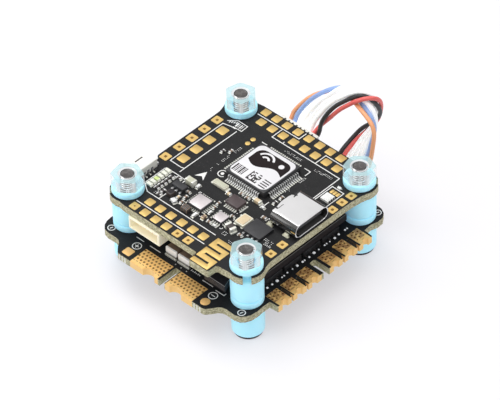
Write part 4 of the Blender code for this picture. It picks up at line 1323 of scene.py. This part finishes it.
# ---- USB-C receptacle, mouth to the right ----------------------------------------------
# drawn shell: rounded outline swept along X, rim rolled at the mouth
# station in X, inset of the outline: along the outside, then back along the inside
SHELL_STATIONS = (
    (USB.left, 0.0), (USB.right - 0.10, 0.0), (USB.right - 0.03, 0.03), (USB.right, 0.10),
    (USB.right, 0.20), (USB.right - 0.03, 0.27), (USB.right - 0.10, 0.30), (USB.left, 0.30))
shell = Part()
shell.loft([[(x, USB.mid_y + p, USB.mid_z + q)
             for p, q in round_rect(-USB.half_y + shrink, USB.half_y - shrink,
                                    -USB.half_z + shrink, USB.half_z - shrink,
                                    1.45 - shrink, 9)]
            for x, shrink in SHELL_STATIONS], SHELL, looped=True)
# folded rear cover: a tongue of the top plate bent down at the left, rounded shoulders
# x from the shell's left end, y from its middle
COVER = ((0.30, -2.45), (0.30, 1.90), (-0.25, 1.90), (-0.42, 0.95), (-0.47, 0.0),
         (-0.47, -0.75), (-0.30, -1.70), (-0.05, -2.45))
shell.chamfer([(USB.left + x, USB.mid_y + y) for x, y in COVER],
              USB.top - 0.30, USB.top - 0.008, 0.06, SHELL)
shell.box(USB.left - 0.44, USB.left + 0.1, USB.mid_y - 1.5, USB.mid_y + 1.6,
          USB.bottom + 0.15, USB.top - 0.12, SHELL, edge=0.10)
# soldered legs at the four corners
for x in (USB.left + 0.02, USB.left + 4.25):
    for side in (-1, 1):
        front, back = sorted((USB.mid_y + side * (USB.half_y - 0.55),
                              USB.mid_y + side * (USB.half_y - 0.15)))
        shell.box(x - 0.50, x + 0.50, front, back, FC_SEAT, USB.bottom + 1.15, SHELL,
                  edge=0.06)
        mound_y = USB.mid_y + side * (USB.half_y + 0.12)
        # half length, half width, shift towards the shell, corner radius, height
        mound = ((0.78, 0.40, 0.0, 0.34, -0.01), (0.80, 0.42, 0.0, 0.32, 0.08),
                 (0.58, 0.26, 0.12, 0.2, 0.28), (0.46, 0.12, 0.22, 0.1, 0.55))
        shell.stack([[(x + p, mound_y - side * shift + q)
                      for p, q in round_rect(-half_x, half_x, -half_y, half_y, corner, 4)]
                     for half_x, half_y, shift, corner, _ in mound],
                    [FC_TOP + row[4] for row in mound], LEGS)
shell.build("usb_shell_formed", slot="connector_steel", nodes=("usb_c_shell",), angle=40)

details = Part()
# notches and slots stamped through the top plate beside the cover, from the same origin; black
# sheets painted on the plate as the shade in the openings
CORNER_CUT = ((-0.02, 1.95), (0.30, 1.95), (0.48, 1.45), (0.62, 1.50), (0.60, 2.05),
              (0.80, 2.30), (0.42, 2.60), (0.40, 3.25), (-0.02, 3.25))
for outline in (round_rect(USB.left - 0.02, USB.left + 0.50, USB.mid_y - 2.88,
                           USB.mid_y - 2.50, 0.05, 1),
                round_rect(USB.left + 0.38, USB.left + 0.52, USB.mid_y - 2.60,
                           USB.mid_y - 1.15, 0.05, 1),
                [(USB.left + x, USB.mid_y + y) for x, y in CORNER_CUT][::-1]):
    details.prism(outline, USB.top - 0.05, USB.top + 0.006, BLACK)
# contacts on the tongue
CONTACT = plain("contact_plating", (0.30, 0.24, 0.20), rough=0.4, metal=0.6, vary=0.2,
                bump=0.2)
for side in (-1, 1):
    z = USB.mid_z + side * 0.35
    for k in range(12):
        y = USB.mid_y + (k - 5.5) * 0.5
        details.box(USB.right - 4.6, USB.right - 1.75, y - 0.13, y + 0.13, z - 0.02,
                    z + 0.02, CONTACT, edge=0.01)
# row of solder tails at the shell's left end
for k in range(9):
    y = USB.mid_y - 2.9 + k * 0.55
    details.on_fc(USB.left - 1.05, USB.left - 0.45, y - 0.11, y + 0.11, 0.08, TIN, edge=0.02)
details.build("usb_contacts_and_slots", slot="connector_steel")

# ---- wire connectors -------------------------------------------------------------------
PIN_PITCH = 1.0
pins = Part()
cad = cad_box("front_connector")
for k in range(6):
    x = cad.mid_x + (k - 2.5) * PIN_PITCH
    pins.box(x - 0.14, x + 0.14, cad.front + 0.75, cad.front + 3.6, cad.mid_z - 0.14,
             cad.mid_z + 0.14, GOLD, edge=0.04)
    pins.box(x - 0.14, x + 0.14, cad.back - 0.1, cad.back + 0.85, cad.top - 0.25, FC_BOTTOM,
             TIN, edge=0.03)
for side in (-1, 1):
    x = cad.mid_x + side * (cad.half_x + 0.32)
    pins.box(x - 0.38, x + 0.38, cad.front + 0.8, cad.front + 2.6, cad.top - 0.55, FC_BOTTOM,
             TIN)

cad = cad_box("side_connector")
for k in range(3):
    y = cad.mid_y + (k - 1.0) * PIN_PITCH
    pins.box(cad.left + 0.75, cad.left + 3.6, y - 0.14, y + 0.14, cad.mid_z - 0.12,
             cad.mid_z + 0.12, GOLD, edge=0.04)
    # shallow window in the right wall, a dark grey sheet painted as its shade, with the
    # contact's tail bent down through it
    pins.box(cad.right - 0.04, cad.right + 0.008, y - 0.30, y + 0.30, cad.bottom + 0.10,
             cad.bottom + 0.85, PAD_GREY, edge=0.003)
    pins.box(cad.right - 0.05, cad.right + 0.24, y - 0.12, y + 0.12, cad.bottom + 0.30,
             cad.bottom + 0.50, TAIL, edge=0.03)
    pins.box(cad.right + 0.08, cad.right + 0.26, y - 0.12, y + 0.12, FC_TOP,
             cad.bottom + 0.48, TAIL, edge=0.03)
    pins.on_fc(cad.right + 0.15, cad.right + 0.72, y - 0.15, y + 0.15, 0.08, SOLDER,
               edge=0.03)
    pins.on_fc(cad.right + 0.30, cad.right + 0.62, y + 0.24, y + 0.76, 0.34, EPOXY, edge=0.03)
# latch slot in the roof, a dark sheet painted as its shade, and a tinned tab behind
pins.prism(round_rect(cad.left + 1.72, cad.left + 2.02, cad.front + 1.42, cad.back - 1.60,
                      0.06, 2), cad.top - 0.03, cad.top + 0.006, DARK)
y = cad.mid_y + (cad.half_y + 0.24)
pins.box(cad.left + 2.95, cad.left + 3.95, y - 0.26, y + 0.40, FC_SEAT, cad.bottom + 0.50,
         TIN)

fc_socket, esc_socket = cad_box("fc_cable_socket"), cad_box("esc_cable_socket")
for cad, bottom, top in ((fc_socket, fc_socket.top - 0.2, FC_BOTTOM),
                         (esc_socket, ESC_TOP, esc_socket.bottom + 0.2)):
    for k in range(8):
        x = cad.mid_x + (k - 3.5) * PIN_PITCH
        pins.box(x - 0.14, x + 0.14, cad.front - 0.8, cad.front + 0.1, bottom, top, TIN,
                 edge=0.03)
pins.build("connector_contacts", slot="connector_steel")

for node, name in (("fc_cable_plug", "fc_plug_housing"),
                   ("esc_cable_plug", "esc_plug_housing")):
    cad = cad_box(node)
    plug = Part()
    plug.box(*cad, WHITE, edge=0.12, corner=0.16, low=True)
    # collar behind the mating face
    plug.box(cad.left - 0.30, cad.right + 0.30, cad.front + 2.95, cad.back - 0.10,
             cad.bottom - 0.18, cad.top + 0.18, WHITE, edge=0.12, corner=0.16, low=True)
    for k in range(8):
        x = cad.mid_x + (k - 3.5) * PIN_PITCH
        # painted shade: black sheets on the housing stand in for the dark windows
        window = round_rect(x - 0.20, x + 0.20, cad.back - 1.20, cad.back - 0.55, 0.05, 2)
        plug.prism(window, cad.top + 0.16, cad.top + 0.188, BLACK)
        plug.prism(window, cad.bottom - 0.188, cad.bottom - 0.16, BLACK)
    plug.build(name, body="cable", slot="white_plastic", nodes=(node,))

# ---- wires -----------------------------------------------------------------------------
fc_plug, esc_plug = cad_box("fc_cable_plug"), cad_box("esc_cable_plug")
FC_X, FC_Z = fc_plug.mid_x, fc_plug.mid_z
ESC_X, ESC_Z = esc_plug.mid_x, esc_plug.mid_z
START_Y = fc_plug.back + 0.05
OUTER_WIRE = 3.5 * PIN_PITCH
# stations (x, y, z) of the first and last wires, from the fc plug to the esc plug
FIRST_WIRE = np.array([
    (FC_X - OUTER_WIRE, START_Y, FC_Z), (FC_X - OUTER_WIRE, START_Y + 0.95, FC_Z),
    (-8.50, 23.1, FC_TOP - 1.4), (-5.58, 25.2, FC_TOP + 2.48), (-0.06, 26.8, FC_TOP + 6.07),
    (5.97, 25.8, FC_TOP + 7.02), (10.55, 24.4, FC_TOP + 5.15), (11.20, 23.4, FC_TOP + 0.93),
    (10.20, 23.2, ESC_Z + 2.2), (ESC_X + OUTER_WIRE, START_Y + 0.95, ESC_Z + 0.05),
    (ESC_X + OUTER_WIRE, START_Y, ESC_Z)])
LAST_WIRE = np.array([
    (FC_X + OUTER_WIRE, START_Y, FC_Z), (FC_X + OUTER_WIRE, START_Y + 0.95, FC_Z),
    (-1.08, 23.4, FC_TOP + 0.38), (1.96, 24.6, FC_TOP + 5.18), (5.80, 26.0, FC_TOP + 8.53),
    (7.41, 28.4, FC_TOP + 6.68), (6.58, 29.6, FC_TOP + 1.38), (3.52, 27.6, FC_TOP - 3.18),
    (2.85, 24.2, ESC_Z + 1.7), (ESC_X - OUTER_WIRE, START_Y + 0.95, ESC_Z + 0.05),
    (ESC_X - OUTER_WIRE, START_Y, ESC_Z)])
# how far the middle wires arch out at each station
LIFT = (0, 0, 0, 0.3, 0.6, 0.6, 0.2, 0, 0, 0, 0)
# place across the cable at each station, for the two wires that cross
CROSSING = {6: (6, 6, 6.9, 7.3, 7.1, 7.0, 7.0, 6.6, 6.2, 6, 6),
            7: (7, 7, 6.8, 6.1, 6.0, 6.2, 6.4, 6.9, 7, 7, 7)}
WIRE_NAMES = ("wire_orange", "wire_blue", "wire_white_1", "wire_white_2", "wire_white_3",
              "wire_white_4", "wire_red", "wire_black")
WIRE_RADIUS = 0.43
# colour, tint, strength of a painted glow
WIRE_LOOKS = {"orange": ((0.86, 0.36, 0.16), (1.0, 0.66, 0.44)),
              "blue": ((0.26, 0.40, 0.74), (0.56, 0.68, 0.93)),
              "white": ((0.95, 0.95, 0.96), (1.0, 1.0, 1.0), 0.16),
              "red": ((0.74, 0.10, 0.09), (1.0, 0.42, 0.38)),
              "black": ((0.016, 0.016, 0.018), (0.10, 0.10, 0.11))}


def wire_guide(wire):
    points = []
    for k, (first, last) in enumerate(zip(FIRST_WIRE, LAST_WIRE)):
        share = (CROSSING[wire][k] if wire in CROSSING else wire) / 7.0
        arch = np.array([0, 0.2, 0.9]) * LIFT[k] * math.sin(math.pi * min(share, 1.0))
        points.append(first + (last - first) * share + arch)
    return points


def smooth(points, steps):
    """Catmull-Rom curve through points, which may be arrays or Vectors."""
    curve = []
    last = len(points) - 1
    for i in range(last):
        a, b, c, d = points[max(i - 1, 0)], points[i], points[i + 1], points[min(i + 2, last)]
        for j in range(steps):
            u = j / steps
            curve.append(0.5 * (2 * b + (c - a) * u + (2 * a - 5 * b + 4 * c - d) * u * u
                                + (3 * b - a - 3 * c + d) * u ** 3))
    curve.append(points[-1])
    return curve


def evenly(path, count):
    """The path again, with points at equal distances."""
    path = np.array(path)
    steps = np.linalg.norm(np.diff(path, axis=0), axis=1)
    travelled = np.concatenate([[0], np.cumsum(steps)])
    wanted = np.linspace(0, travelled[-1], count)
    return np.stack([np.interp(wanted, travelled, path[:, j]) for j in range(3)], 1)


def spread(guides, clearance, rounds):
    """Push the wires apart until none touches another, smoothing as it goes."""
    wires = [guide.copy() for guide in guides]
    for k in range(rounds):
        for i in range(len(wires)):
            for j in range(i + 1, len(wires)):
                gaps = wires[i][:, None] - wires[j][None]
                lengths = np.linalg.norm(gaps, axis=2)
                for p, q in zip(*np.where(lengths < clearance)):
                    length = lengths[p, q]
                    push = gaps[p, q] / max(length, 1e-6) * (clearance - length) * 0.3
                    # three points at either end stay put
                    if 3 <= p < len(wires[i]) - 3:
                        wires[i][p] += push
                    if 3 <= q < len(wires[j]) - 3:
                        wires[j][q] -= push
        ease = 0.3 if k < rounds - 20 else 0.05     # smooth less in the last rounds
        for wire, guide in zip(wires, guides):
            shift = wire - guide
            shift[3:-3] = shift[3:-3] * (1 - ease) + ease * 0.5 * (shift[2:-4] + shift[4:-2])
            wire[:] = guide + shift
    return wires


def tube(part, path, radius, count, material):
    """Round tube along a path, with closed ends and a steady frame."""
    start = (path[1] - path[0]).normalized()
    reference = Vector((0, 0, 1)) if abs(start.z) < 0.9 else Vector((1, 0, 0))
    across = start.cross(reference).normalized()
    rings = []
    for k, point in enumerate(path):
        ahead = (path[min(k + 1, len(path) - 1)] - path[max(k - 1, 0)]).normalized()
        across = (across - ahead * across.dot(ahead)).normalized()
        third = ahead.cross(across)
        ring = []
        for j in range(count):
            angle = 2 * math.pi * j / count
            ring.append(tuple(point + across * (radius * math.cos(angle))
                              + third * (radius * math.sin(angle))))
        rings.append(ring)
    part.loft(rings, material)


guides = [evenly(smooth(wire_guide(k), 16), 72) for k in range(8)]
wire_paths = [evenly(wire, 36) for wire in spread(guides, clearance=0.98, rounds=150)]
wire_materials = {color: insulation("insulation_" + color, *look)
                  for color, look in WIRE_LOOKS.items()}
INTO_PLUG = Vector((0, 0.5, 0))
for name, stations in zip(WIRE_NAMES, wire_paths):
    # leave both housings straight back
    for end, neighbour in ((0, 1), (-1, -2)):
        stations[neighbour] = stations[end] + np.array([0.0, 0.75, 0.0])
    color = name.split("_")[1]
    path = smooth([Vector(station) for station in stations], 4)
    # run both ends a little way into their housings
    path = [path[0] - INTO_PLUG] + path + [path[-1] - INTO_PLUG]
    wire = Part()
    tube(wire, path, WIRE_RADIUS, 16, wire_materials[color])
    wire.build(name + "_insulated", body="cable", slot="insulation_" + color, nodes=(name,),
               angle=60)

# ---- screws, nuts and grommets ---------------------------------------------------------
THREAD_RADIUS, THREAD_PITCH, THREAD_DEPTH = 1.475, 0.5, 0.27
THREAD_STEP = THREAD_PITCH / 8
THREAD_START = 15.4
NUT_HALF_FLATS = 2.75
GROMMET_BORE, GROMMET_NECK = 1.62, 1.93
GROMMET_ROUND = 0.34        # radius of the grommet's rounded edges
GROMMET_BULGE = 0.035


def thread_radius(angle, z):
    phase = (z / THREAD_PITCH - angle / (2 * math.pi)) % 1.0
    rise = abs(phase - 0.5) * 2
    rise = min(max((rise - 0.12) / 0.76, 0.0), 1.0)
    return THREAD_RADIUS - THREAD_DEPTH * (1 - rise)


def build_screw(corner, x, y):
    cad = cad_box("screw_" + corner)
    tip, head = cad.top, (cad.right - cad.left) / 2
    # radius, height
    below = [(0.001, 0.0), (head - 0.16, 0.0), (head - 0.05, 0.04), (head, 0.14),
             (head, 0.46), (head - 0.04, 0.56), (head - 0.12, 0.60), (THREAD_RADIUS, 0.60),
             (THREAD_RADIUS, THREAD_START - 0.1)]
    above = [(THREAD_RADIUS - 0.04, tip - 0.26), (THREAD_RADIUS - 0.15, tip - 0.03),
             (THREAD_RADIUS - 0.20, tip), (THREAD_RADIUS - 0.27, tip - 0.02),
             (0.001, tip - 0.05)]
    rings = [turned_ring(x, y, z, radius, 32) for radius, z in below]
    for k in range(int((tip - 0.32 - THREAD_START) / THREAD_STEP) + 1):
        z = THREAD_START + k * THREAD_STEP
        rings.append(turned_ring(x, y, z, lambda angle: thread_radius(angle, z), 32))
    rings += [turned_ring(x, y, z, radius, 32) for radius, z in above]
    screw = Part()
    screw.loft(rings, THREAD)
    # hex socket in the head: a black hexagon painted as its shade
    screw.prism(circle(x, y, 1.155, 6), -0.004, 0.05, BLACK)
    screw.build("screw_threaded_" + corner, body="screw_" + corner, slot="screw_steel",
                nodes=("screw_" + corner,), angle=38)


def build_nut(corner, x, y, turn):
    """Clear hexagonal nut, corners turned off, bore countersunk."""
    cad = cad_box("nut_" + corner)
    height = cad.top - cad.bottom

    def hexagon(angle):
        around = (math.degrees(angle) - (135 + turn)) % 60
        return NUT_HALF_FLATS / math.cos(math.radians(around - 30))

    rings = []
    for z in (0.0, 0.05, 0.12, 0.20, height * 0.5, height - 0.26, height - 0.16,
              height - 0.09, height - 0.04, height):
        limit = 2 * NUT_HALF_FLATS / math.sqrt(3) - 0.20 + min(z, height - z) * 1.9
        rings.append(turned_ring(x, y, cad.bottom + z,
                                 lambda angle: min(hexagon(angle), limit), 72))
    for radius, z in ((1.80, height), (1.56, height - 0.22), (1.56, 0.24), (1.80, 0.0)):
        rings.append(turned_ring(x, y, cad.bottom + z, radius, 72))
    nut = Part()
    nut.loft(rings, CLEAR, looped=True)
    nut.build("nut_clear_" + corner, body="nut_" + corner, slot="clear_plastic",
              nodes=("nut_" + corner,), angle=24)


def build_grommet(node, x, y, board_bottom, board_top):
    """Soft grommet: rounded flange and column, neck through the board."""
    cad = cad_box(node)
    bottom, top = cad.bottom, cad.top
    outer = (cad.right - cad.left) / 2
    rounding = GROMMET_ROUND
    neck_bottom, neck_top = board_bottom - 0.03, board_top + 0.03
    # (radius, height), up the outside and down the bore
    profile = arc(outer - rounding, bottom + rounding, rounding, -90, 0, 5)
    for k in range(1, 6):
        share = k / 6
        profile.append((outer + GROMMET_BULGE * math.sin(math.pi * share),
                        bottom + rounding
                        + (neck_bottom - rounding - bottom - rounding) * share))
    profile += arc(outer - rounding, neck_bottom - rounding, rounding, 0, 90, 5)
    profile += [(GROMMET_NECK, neck_bottom), (GROMMET_NECK, neck_top)]
    small = rounding * 0.8
    profile += arc(outer - small, neck_top + small, small, -90, 0, 5)
    profile += arc(outer - rounding, top - rounding, rounding, 0, 90, 5)
    profile += [(GROMMET_BORE + 0.08, top), (GROMMET_BORE, top - 0.08),
                (GROMMET_BORE, bottom + 0.08), (GROMMET_BORE + 0.08, bottom)]
    grommet = Part()
    grommet.loft([turned_ring(x, y, z, radius, 56) for radius, z in profile], SILICONE,
                 looped=True)
    grommet.build(node + "_moulded", slot="silicone", nodes=(node,), angle=50)


for corner, side_x, side_y, turn in CORNERS:
    x, y = side_x * HOLE, side_y * HOLE
    build_screw(corner, x, y)
    build_nut(corner, x, y, turn)
    build_grommet("esc_grommet_" + corner, x, y, ESC_BOTTOM, ESC_TOP)
    build_grommet("fc_grommet_" + corner, x, y, FC_BOTTOM, FC_TOP)

# ---- speed controller details ----------------------------------------------------------
TERMINAL = capacitor_terminal()

legend = Legend(ESC_TOP)
# plus and minus signs in rings
for x, y, is_plus in ((-9.72, -18.95, True), (10.02, -18.97, False)):
    radius = 0.95
    legend.hoop(x, y, radius, 28)
    legend.shape(round_rect(x - radius * 0.5, x + radius * 0.5, y - 0.08, y + 0.08, 0.04, 1))
    if is_plus:
        legend.shape(round_rect(x - 0.08, x + 0.08, y - radius * 0.5, y + radius * 0.5,
                                0.04, 1), proud=0.001)
# ringed strokes near the corners
for x, y in ((17.02, -18.69), (-16.78, -18.6), (17.25, 18.0), (-17.25, 18.0)):
    legend.hoop(x, y, 0.80, 24)
    legend.shape(spin(round_rect(x - 0.10, x + 0.10, y - 0.34, y + 0.34, 0.04, 1),
                      -20, x, y))
for path in ([(-11.5, -17.24), (-9.55, -17.24)], [(-7.95, -17.28), (-5.2, -17.28)],
             [(5.75, -17.3), (8.4, -17.3)], [(9.4, -17.62), (11.5, -17.62), (11.5, -17.0)]):
    legend.line(path)
legend.line([(5.35, -15.9), (9.6, -15.9)], 0.12)
for k in range(6):
    legend.shape(round_rect(2.3 + 0.42 * k, 2.52 + 0.42 * k, -16.95,
                            -16.55 - (k % 2) * 0.12, 0.03, 1))
for k in range(3):
    legend.prism(circle(-0.9 + 1.4 * k, -17.65, 0.13, 10), ESC_TOP - SUNK, ESC_TOP + 0.02,
                 TIN)
legend.build("esc_legend", slot="circuit_board")

esc_pads = Part()
PROBE = plain("probe_pad_gold", (0.86, 0.52, 0.19), rough=0.42, metal=0.25, scale=3.0,
              vary=0.22, bump=0.4, depth=0.03)
for outline in (round_rect(-10.75, -8.85, -22.05, -20.20, 0.25),
                circle(10.08, -21.10, 0.95, 28)):
    esc_pads.chamfer(outline, ESC_TOP - SUNK, ESC_TOP + 0.05, 0.02, PROBE)
# plated half holes on the board edge in front of the small pads
for left in (-10.6, 8.8):
    for k in range(3):
        x = left + k * 0.72
        esc_pads.box(x - 0.16, x + 0.16, -22.76, -22.55, ESC_BOTTOM + 0.10, ESC_TOP - 0.12,
                     SOLDER)
# pads on the underside of the speed controller
under_pads = [round_rect(left, right, -21.60, -18.4, 0.2)
              for left, right in ((-7.8, -0.7), (1.3, 8.15))]
under_pads += [round_rect(left, right, front, back, 0.15)
               for left, right in ((-20.05, -17.3), (17.3, 20.05))
               for front, back in MOTOR_PADS]
for outline in under_pads:
    esc_pads.chamfer(outline, ESC_BOTTOM - 0.05, ESC_BOTTOM + 0.02, 0.0001, GOLD)
esc_pads.build("esc_small_pads", slot="circuit_board")

# leads along each transistor, and the bright solder beside them
LEAD_PITCH = 1.27
DOT_Y = (-10.75, -9.48, -8.18, -6.9, -5.32, -3.97, -2.72, -1.3, 0.47, 1.9, 3.15, 4.74, 6.11,
         7.44, 8.7, 10.36)
DOT_SHIFTS = (0.0, 0.06, -0.05, 0.02, 0.08)
DOT_HALVES = (0.21, 0.15, 0.23, 0.27, 0.14, 0.19, 0.17)
leads = Part()
for node in TRANSISTORS:
    cad = cad_box(node)
    for side, wall in ((-1, cad.left), (1, cad.right)):
        left, right = sorted((wall - side * 0.05, wall + side * 0.30))
        for k in range(4):
            y = cad.mid_y + (k - 1.5) * LEAD_PITCH
            leads.box(left, right, y - 0.16, y + 0.16, ESC_TOP - 0.01, ESC_TOP + 0.10, DARK,
                      edge=0.04)
for side in (-1, 1):
    for k, y in enumerate(DOT_Y):
        x = side * (16.0 + DOT_SHIFTS[k * 3 % 5])
        half = DOT_HALVES[k * 5 % 7]
        outlines = []
        for shrink, corner in ((0.0, 0.12), (0.04, 0.10), (0.12, 0.05)):
            outlines.append(round_rect(x - half + shrink, x + half - shrink,
                                       y - half + shrink, y + half - shrink, corner, 3))
        leads.stack(outlines, [ESC_TOP - 0.01, ESC_TOP + 0.12, ESC_TOP + 0.20], SOLDER_DOT)
        if k % 4 == 3:
            leads.box(x - 0.14, x + 0.14, y + 0.45, y + 0.70, ESC_TOP - 0.01, ESC_TOP + 0.10,
                      SOLDER_DOT, edge=0.03)
leads.build("esc_leads_and_solder", slot="chip_epoxy")

# input capacitors: fired body with plated ends
for node in ("power_capacitor_1", "power_capacitor_2"):
    cad = cad_box(node)
    capacitor = Part()
    capacitor.box(cad.left + 0.03, cad.right - 0.03, cad.front + 0.2, cad.back - 0.2,
                  cad.bottom + 0.01, cad.top - 0.02, BROWN, edge=0.12, low=True)
    for front, back in ((cad.front, cad.front + 0.50), (cad.back - 0.50, cad.back)):
        capacitor.box(cad.left, cad.right, front, back, cad.bottom, cad.top, TERMINAL,
                      edge=0.14, low=True)
    capacitor.box(cad.left - 0.08, cad.right + 0.08, cad.front - 0.22, cad.front + 0.3,
                  ESC_TOP - 0.01, cad.bottom + 0.35, SOLDER, edge=0.1)
    capacitor.build(node + "_body", slot="capacitor_ceramic", nodes=(node,))

# heat spreader: black anodised plate whose bevelled top edge is in a lighter metal as a painted
# highlight; outline points (x, y)
SPREADER_OUTLINE = [
    (6.9, -18.0), (12.2, -18.0), (11.6, -16.5), (11.6, -12.6), (12.6, -11.5), (15.4, -11.5),
    (15.4, 11.5), (11.6, 11.5), (11.6, 14.6), (-11.6, 14.6), (-11.6, 11.5), (-15.4, 11.5),
    (-15.4, -11.5), (-12.0, -11.5), (-12.0, -12.9), (6.9, -12.9)]
cad = cad_box("heat_spreader")
spreader = Part()
spreader.prism(SPREADER_OUTLINE, cad.bottom, cad.top - 0.09, ANODISED)
spreader.stack([SPREADER_OUTLINE, inset(SPREADER_OUTLINE, 0.075)],
               [cad.top - 0.091, cad.top - 0.02], BRIGHT, top_material=ANODISED)
RIDGE_HIGHLIGHT = plain("anodised_ridge", (0.17, 0.17, 0.165), metal=0.45, vary=0.25, bump=0.3)
# painted highlight: three lighter ridges along the front face
for k in range(3):
    z = cad.bottom + (cad.top - cad.bottom) * (0.24 + 0.22 * k)
    spreader.box(6.98, 12.05, -18.025, -17.95, z, z + 0.07, RIDGE_HIGHLIGHT, edge=0.01)
spreader.prism(inset(SPREADER_OUTLINE, 0.09), cad.top - 0.03, cad.top, ANODISED)
spreader.build("heat_spreader_machined", slot="anodised_aluminium", nodes=("heat_spreader",))

# ---- floor, in metres ------------------------------------------------------------------
floor_mesh = bpy.data.meshes.new("floor")
floor_mesh.from_pydata([(-3, -3, 0), (3, -3, 0), (3, 3, 0), (-3, 3, 0)], [], [(0, 1, 2, 3)])
floor = bpy.data.objects.new("floor", floor_mesh)
floor.location = (0, 0, -0.00005)
bpy.context.scene.collection.objects.link(floor)


def floor_paper():
    mat = Material("floor_paper")
    blot = mat.noise(scale=0.02, detail=2, rough=0.5)
    return mat.finish_surface(color=mat.mix(blot, (0.41, 0.41, 0.42), (0.43, 0.43, 0.44)),
                              rough=0.80, spec=0.10, glow=(0.965, 0.950, 0.985, 1.0),
                              glow_strength=0.525)


floor_mesh.materials.append(floor_paper())

# ---- world: grey below the horizon, white above ----------------------------------------
scene = bpy.context.scene
world = bpy.data.worlds.new("studio")
scene.world = world
world.use_nodes = True
nodes, links = world.node_tree.nodes, world.node_tree.links
nodes.clear()
world_output = nodes.new("ShaderNodeOutputWorld")
background = nodes.new("ShaderNodeBackground")
coordinates = nodes.new("ShaderNodeTexCoord")
separate = nodes.new("ShaderNodeSeparateXYZ")
sky = nodes.new("ShaderNodeValToRGB")
links.new(coordinates.outputs["Generated"], separate.inputs[0])
links.new(separate.outputs[2], sky.inputs[0])
for element, position, color in zip(sky.color_ramp.elements, (0.44, 0.62),
                                    ((0.24, 0.24, 0.25, 1), (1.0, 1.0, 1.0, 1))):
    element.position = position
    element.color = color
links.new(sky.outputs[0], background.inputs[0])
background.inputs[1].default_value = 1.0
links.new(background.outputs[0], world_output.inputs[0])


# ---- lights, in metres and watts -------------------------------------------------------
def softbox(name, place, aim, size, power):
    light = bpy.data.lights.new(name, 'AREA')
    light.shape = 'RECTANGLE'
    light.size, light.size_y = size
    light.energy = power
    lamp = bpy.data.objects.new(name, light)
    scene.collection.objects.link(lamp)
    lamp.location = place
    direction = Vector(aim) - Vector(place)
    lamp.rotation_euler = direction.to_track_quat('-Z', 'Y').to_euler()


softbox("key_softbox", place=(-0.20, 0.03, 0.40), aim=(0, 0, 0.01), size=(0.20, 0.20),
        power=0.48)
softbox("top_softbox", place=(0.02, -0.02, 0.46), aim=(0, 0, 0), size=(0.34, 0.34),
        power=0.50)
softbox("front_fill", place=(-0.24, -0.36, 0.22), aim=(0, 0, 0.012), size=(0.30, 0.22),
        power=0.50)

# ---- camera: long lens, from the front right and above ---------------------------------
AZIMUTH, ELEVATION, ROLL = (math.radians(angle) for angle in (44.7174, 42.6313, -1.63445))
# from the hole-pattern centre on the flight controller's top, along the camera's own axes
CAMERA_OFFSET = Vector((1.14327, -2.64590, 750.0))
SENSOR_WIDTH = 36.0
FOCAL_LENGTH = 289.979208
backward = Vector((math.sin(AZIMUTH) * math.cos(ELEVATION),
                   -math.cos(AZIMUTH) * math.cos(ELEVATION), math.sin(ELEVATION)))
rightward = Vector((math.cos(AZIMUTH), math.sin(AZIMUTH), 0.0))
level = Matrix((rightward, backward.cross(rightward), backward))
cos_roll, sin_roll = math.cos(ROLL), math.sin(ROLL)
to_camera = Matrix(((cos_roll, sin_roll, 0), (-sin_roll, cos_roll, 0), (0, 0, 1))) @ level
place = to_camera.transposed() @ CAMERA_OFFSET
camera_data = bpy.data.cameras.new("camera")
camera_data.sensor_width = SENSOR_WIDTH
camera_data.lens = FOCAL_LENGTH
camera_data.clip_start = 0.05
camera_data.clip_end = 10.0
camera = bpy.data.objects.new("camera", camera_data)
scene.collection.objects.link(camera)
camera.matrix_world = (
    Matrix.Translation((place.x * MM, (place.y + CENTRE_Y) * MM, (place.z + FC_TOP) * MM))
    @ to_camera.transposed().to_4x4())
scene.camera = camera
scene.view_settings.view_transform = 'Standard'
scene.view_settings.look = 'None'
scene.view_settings.exposure = 0.0

bpy.context.view_layer.update()
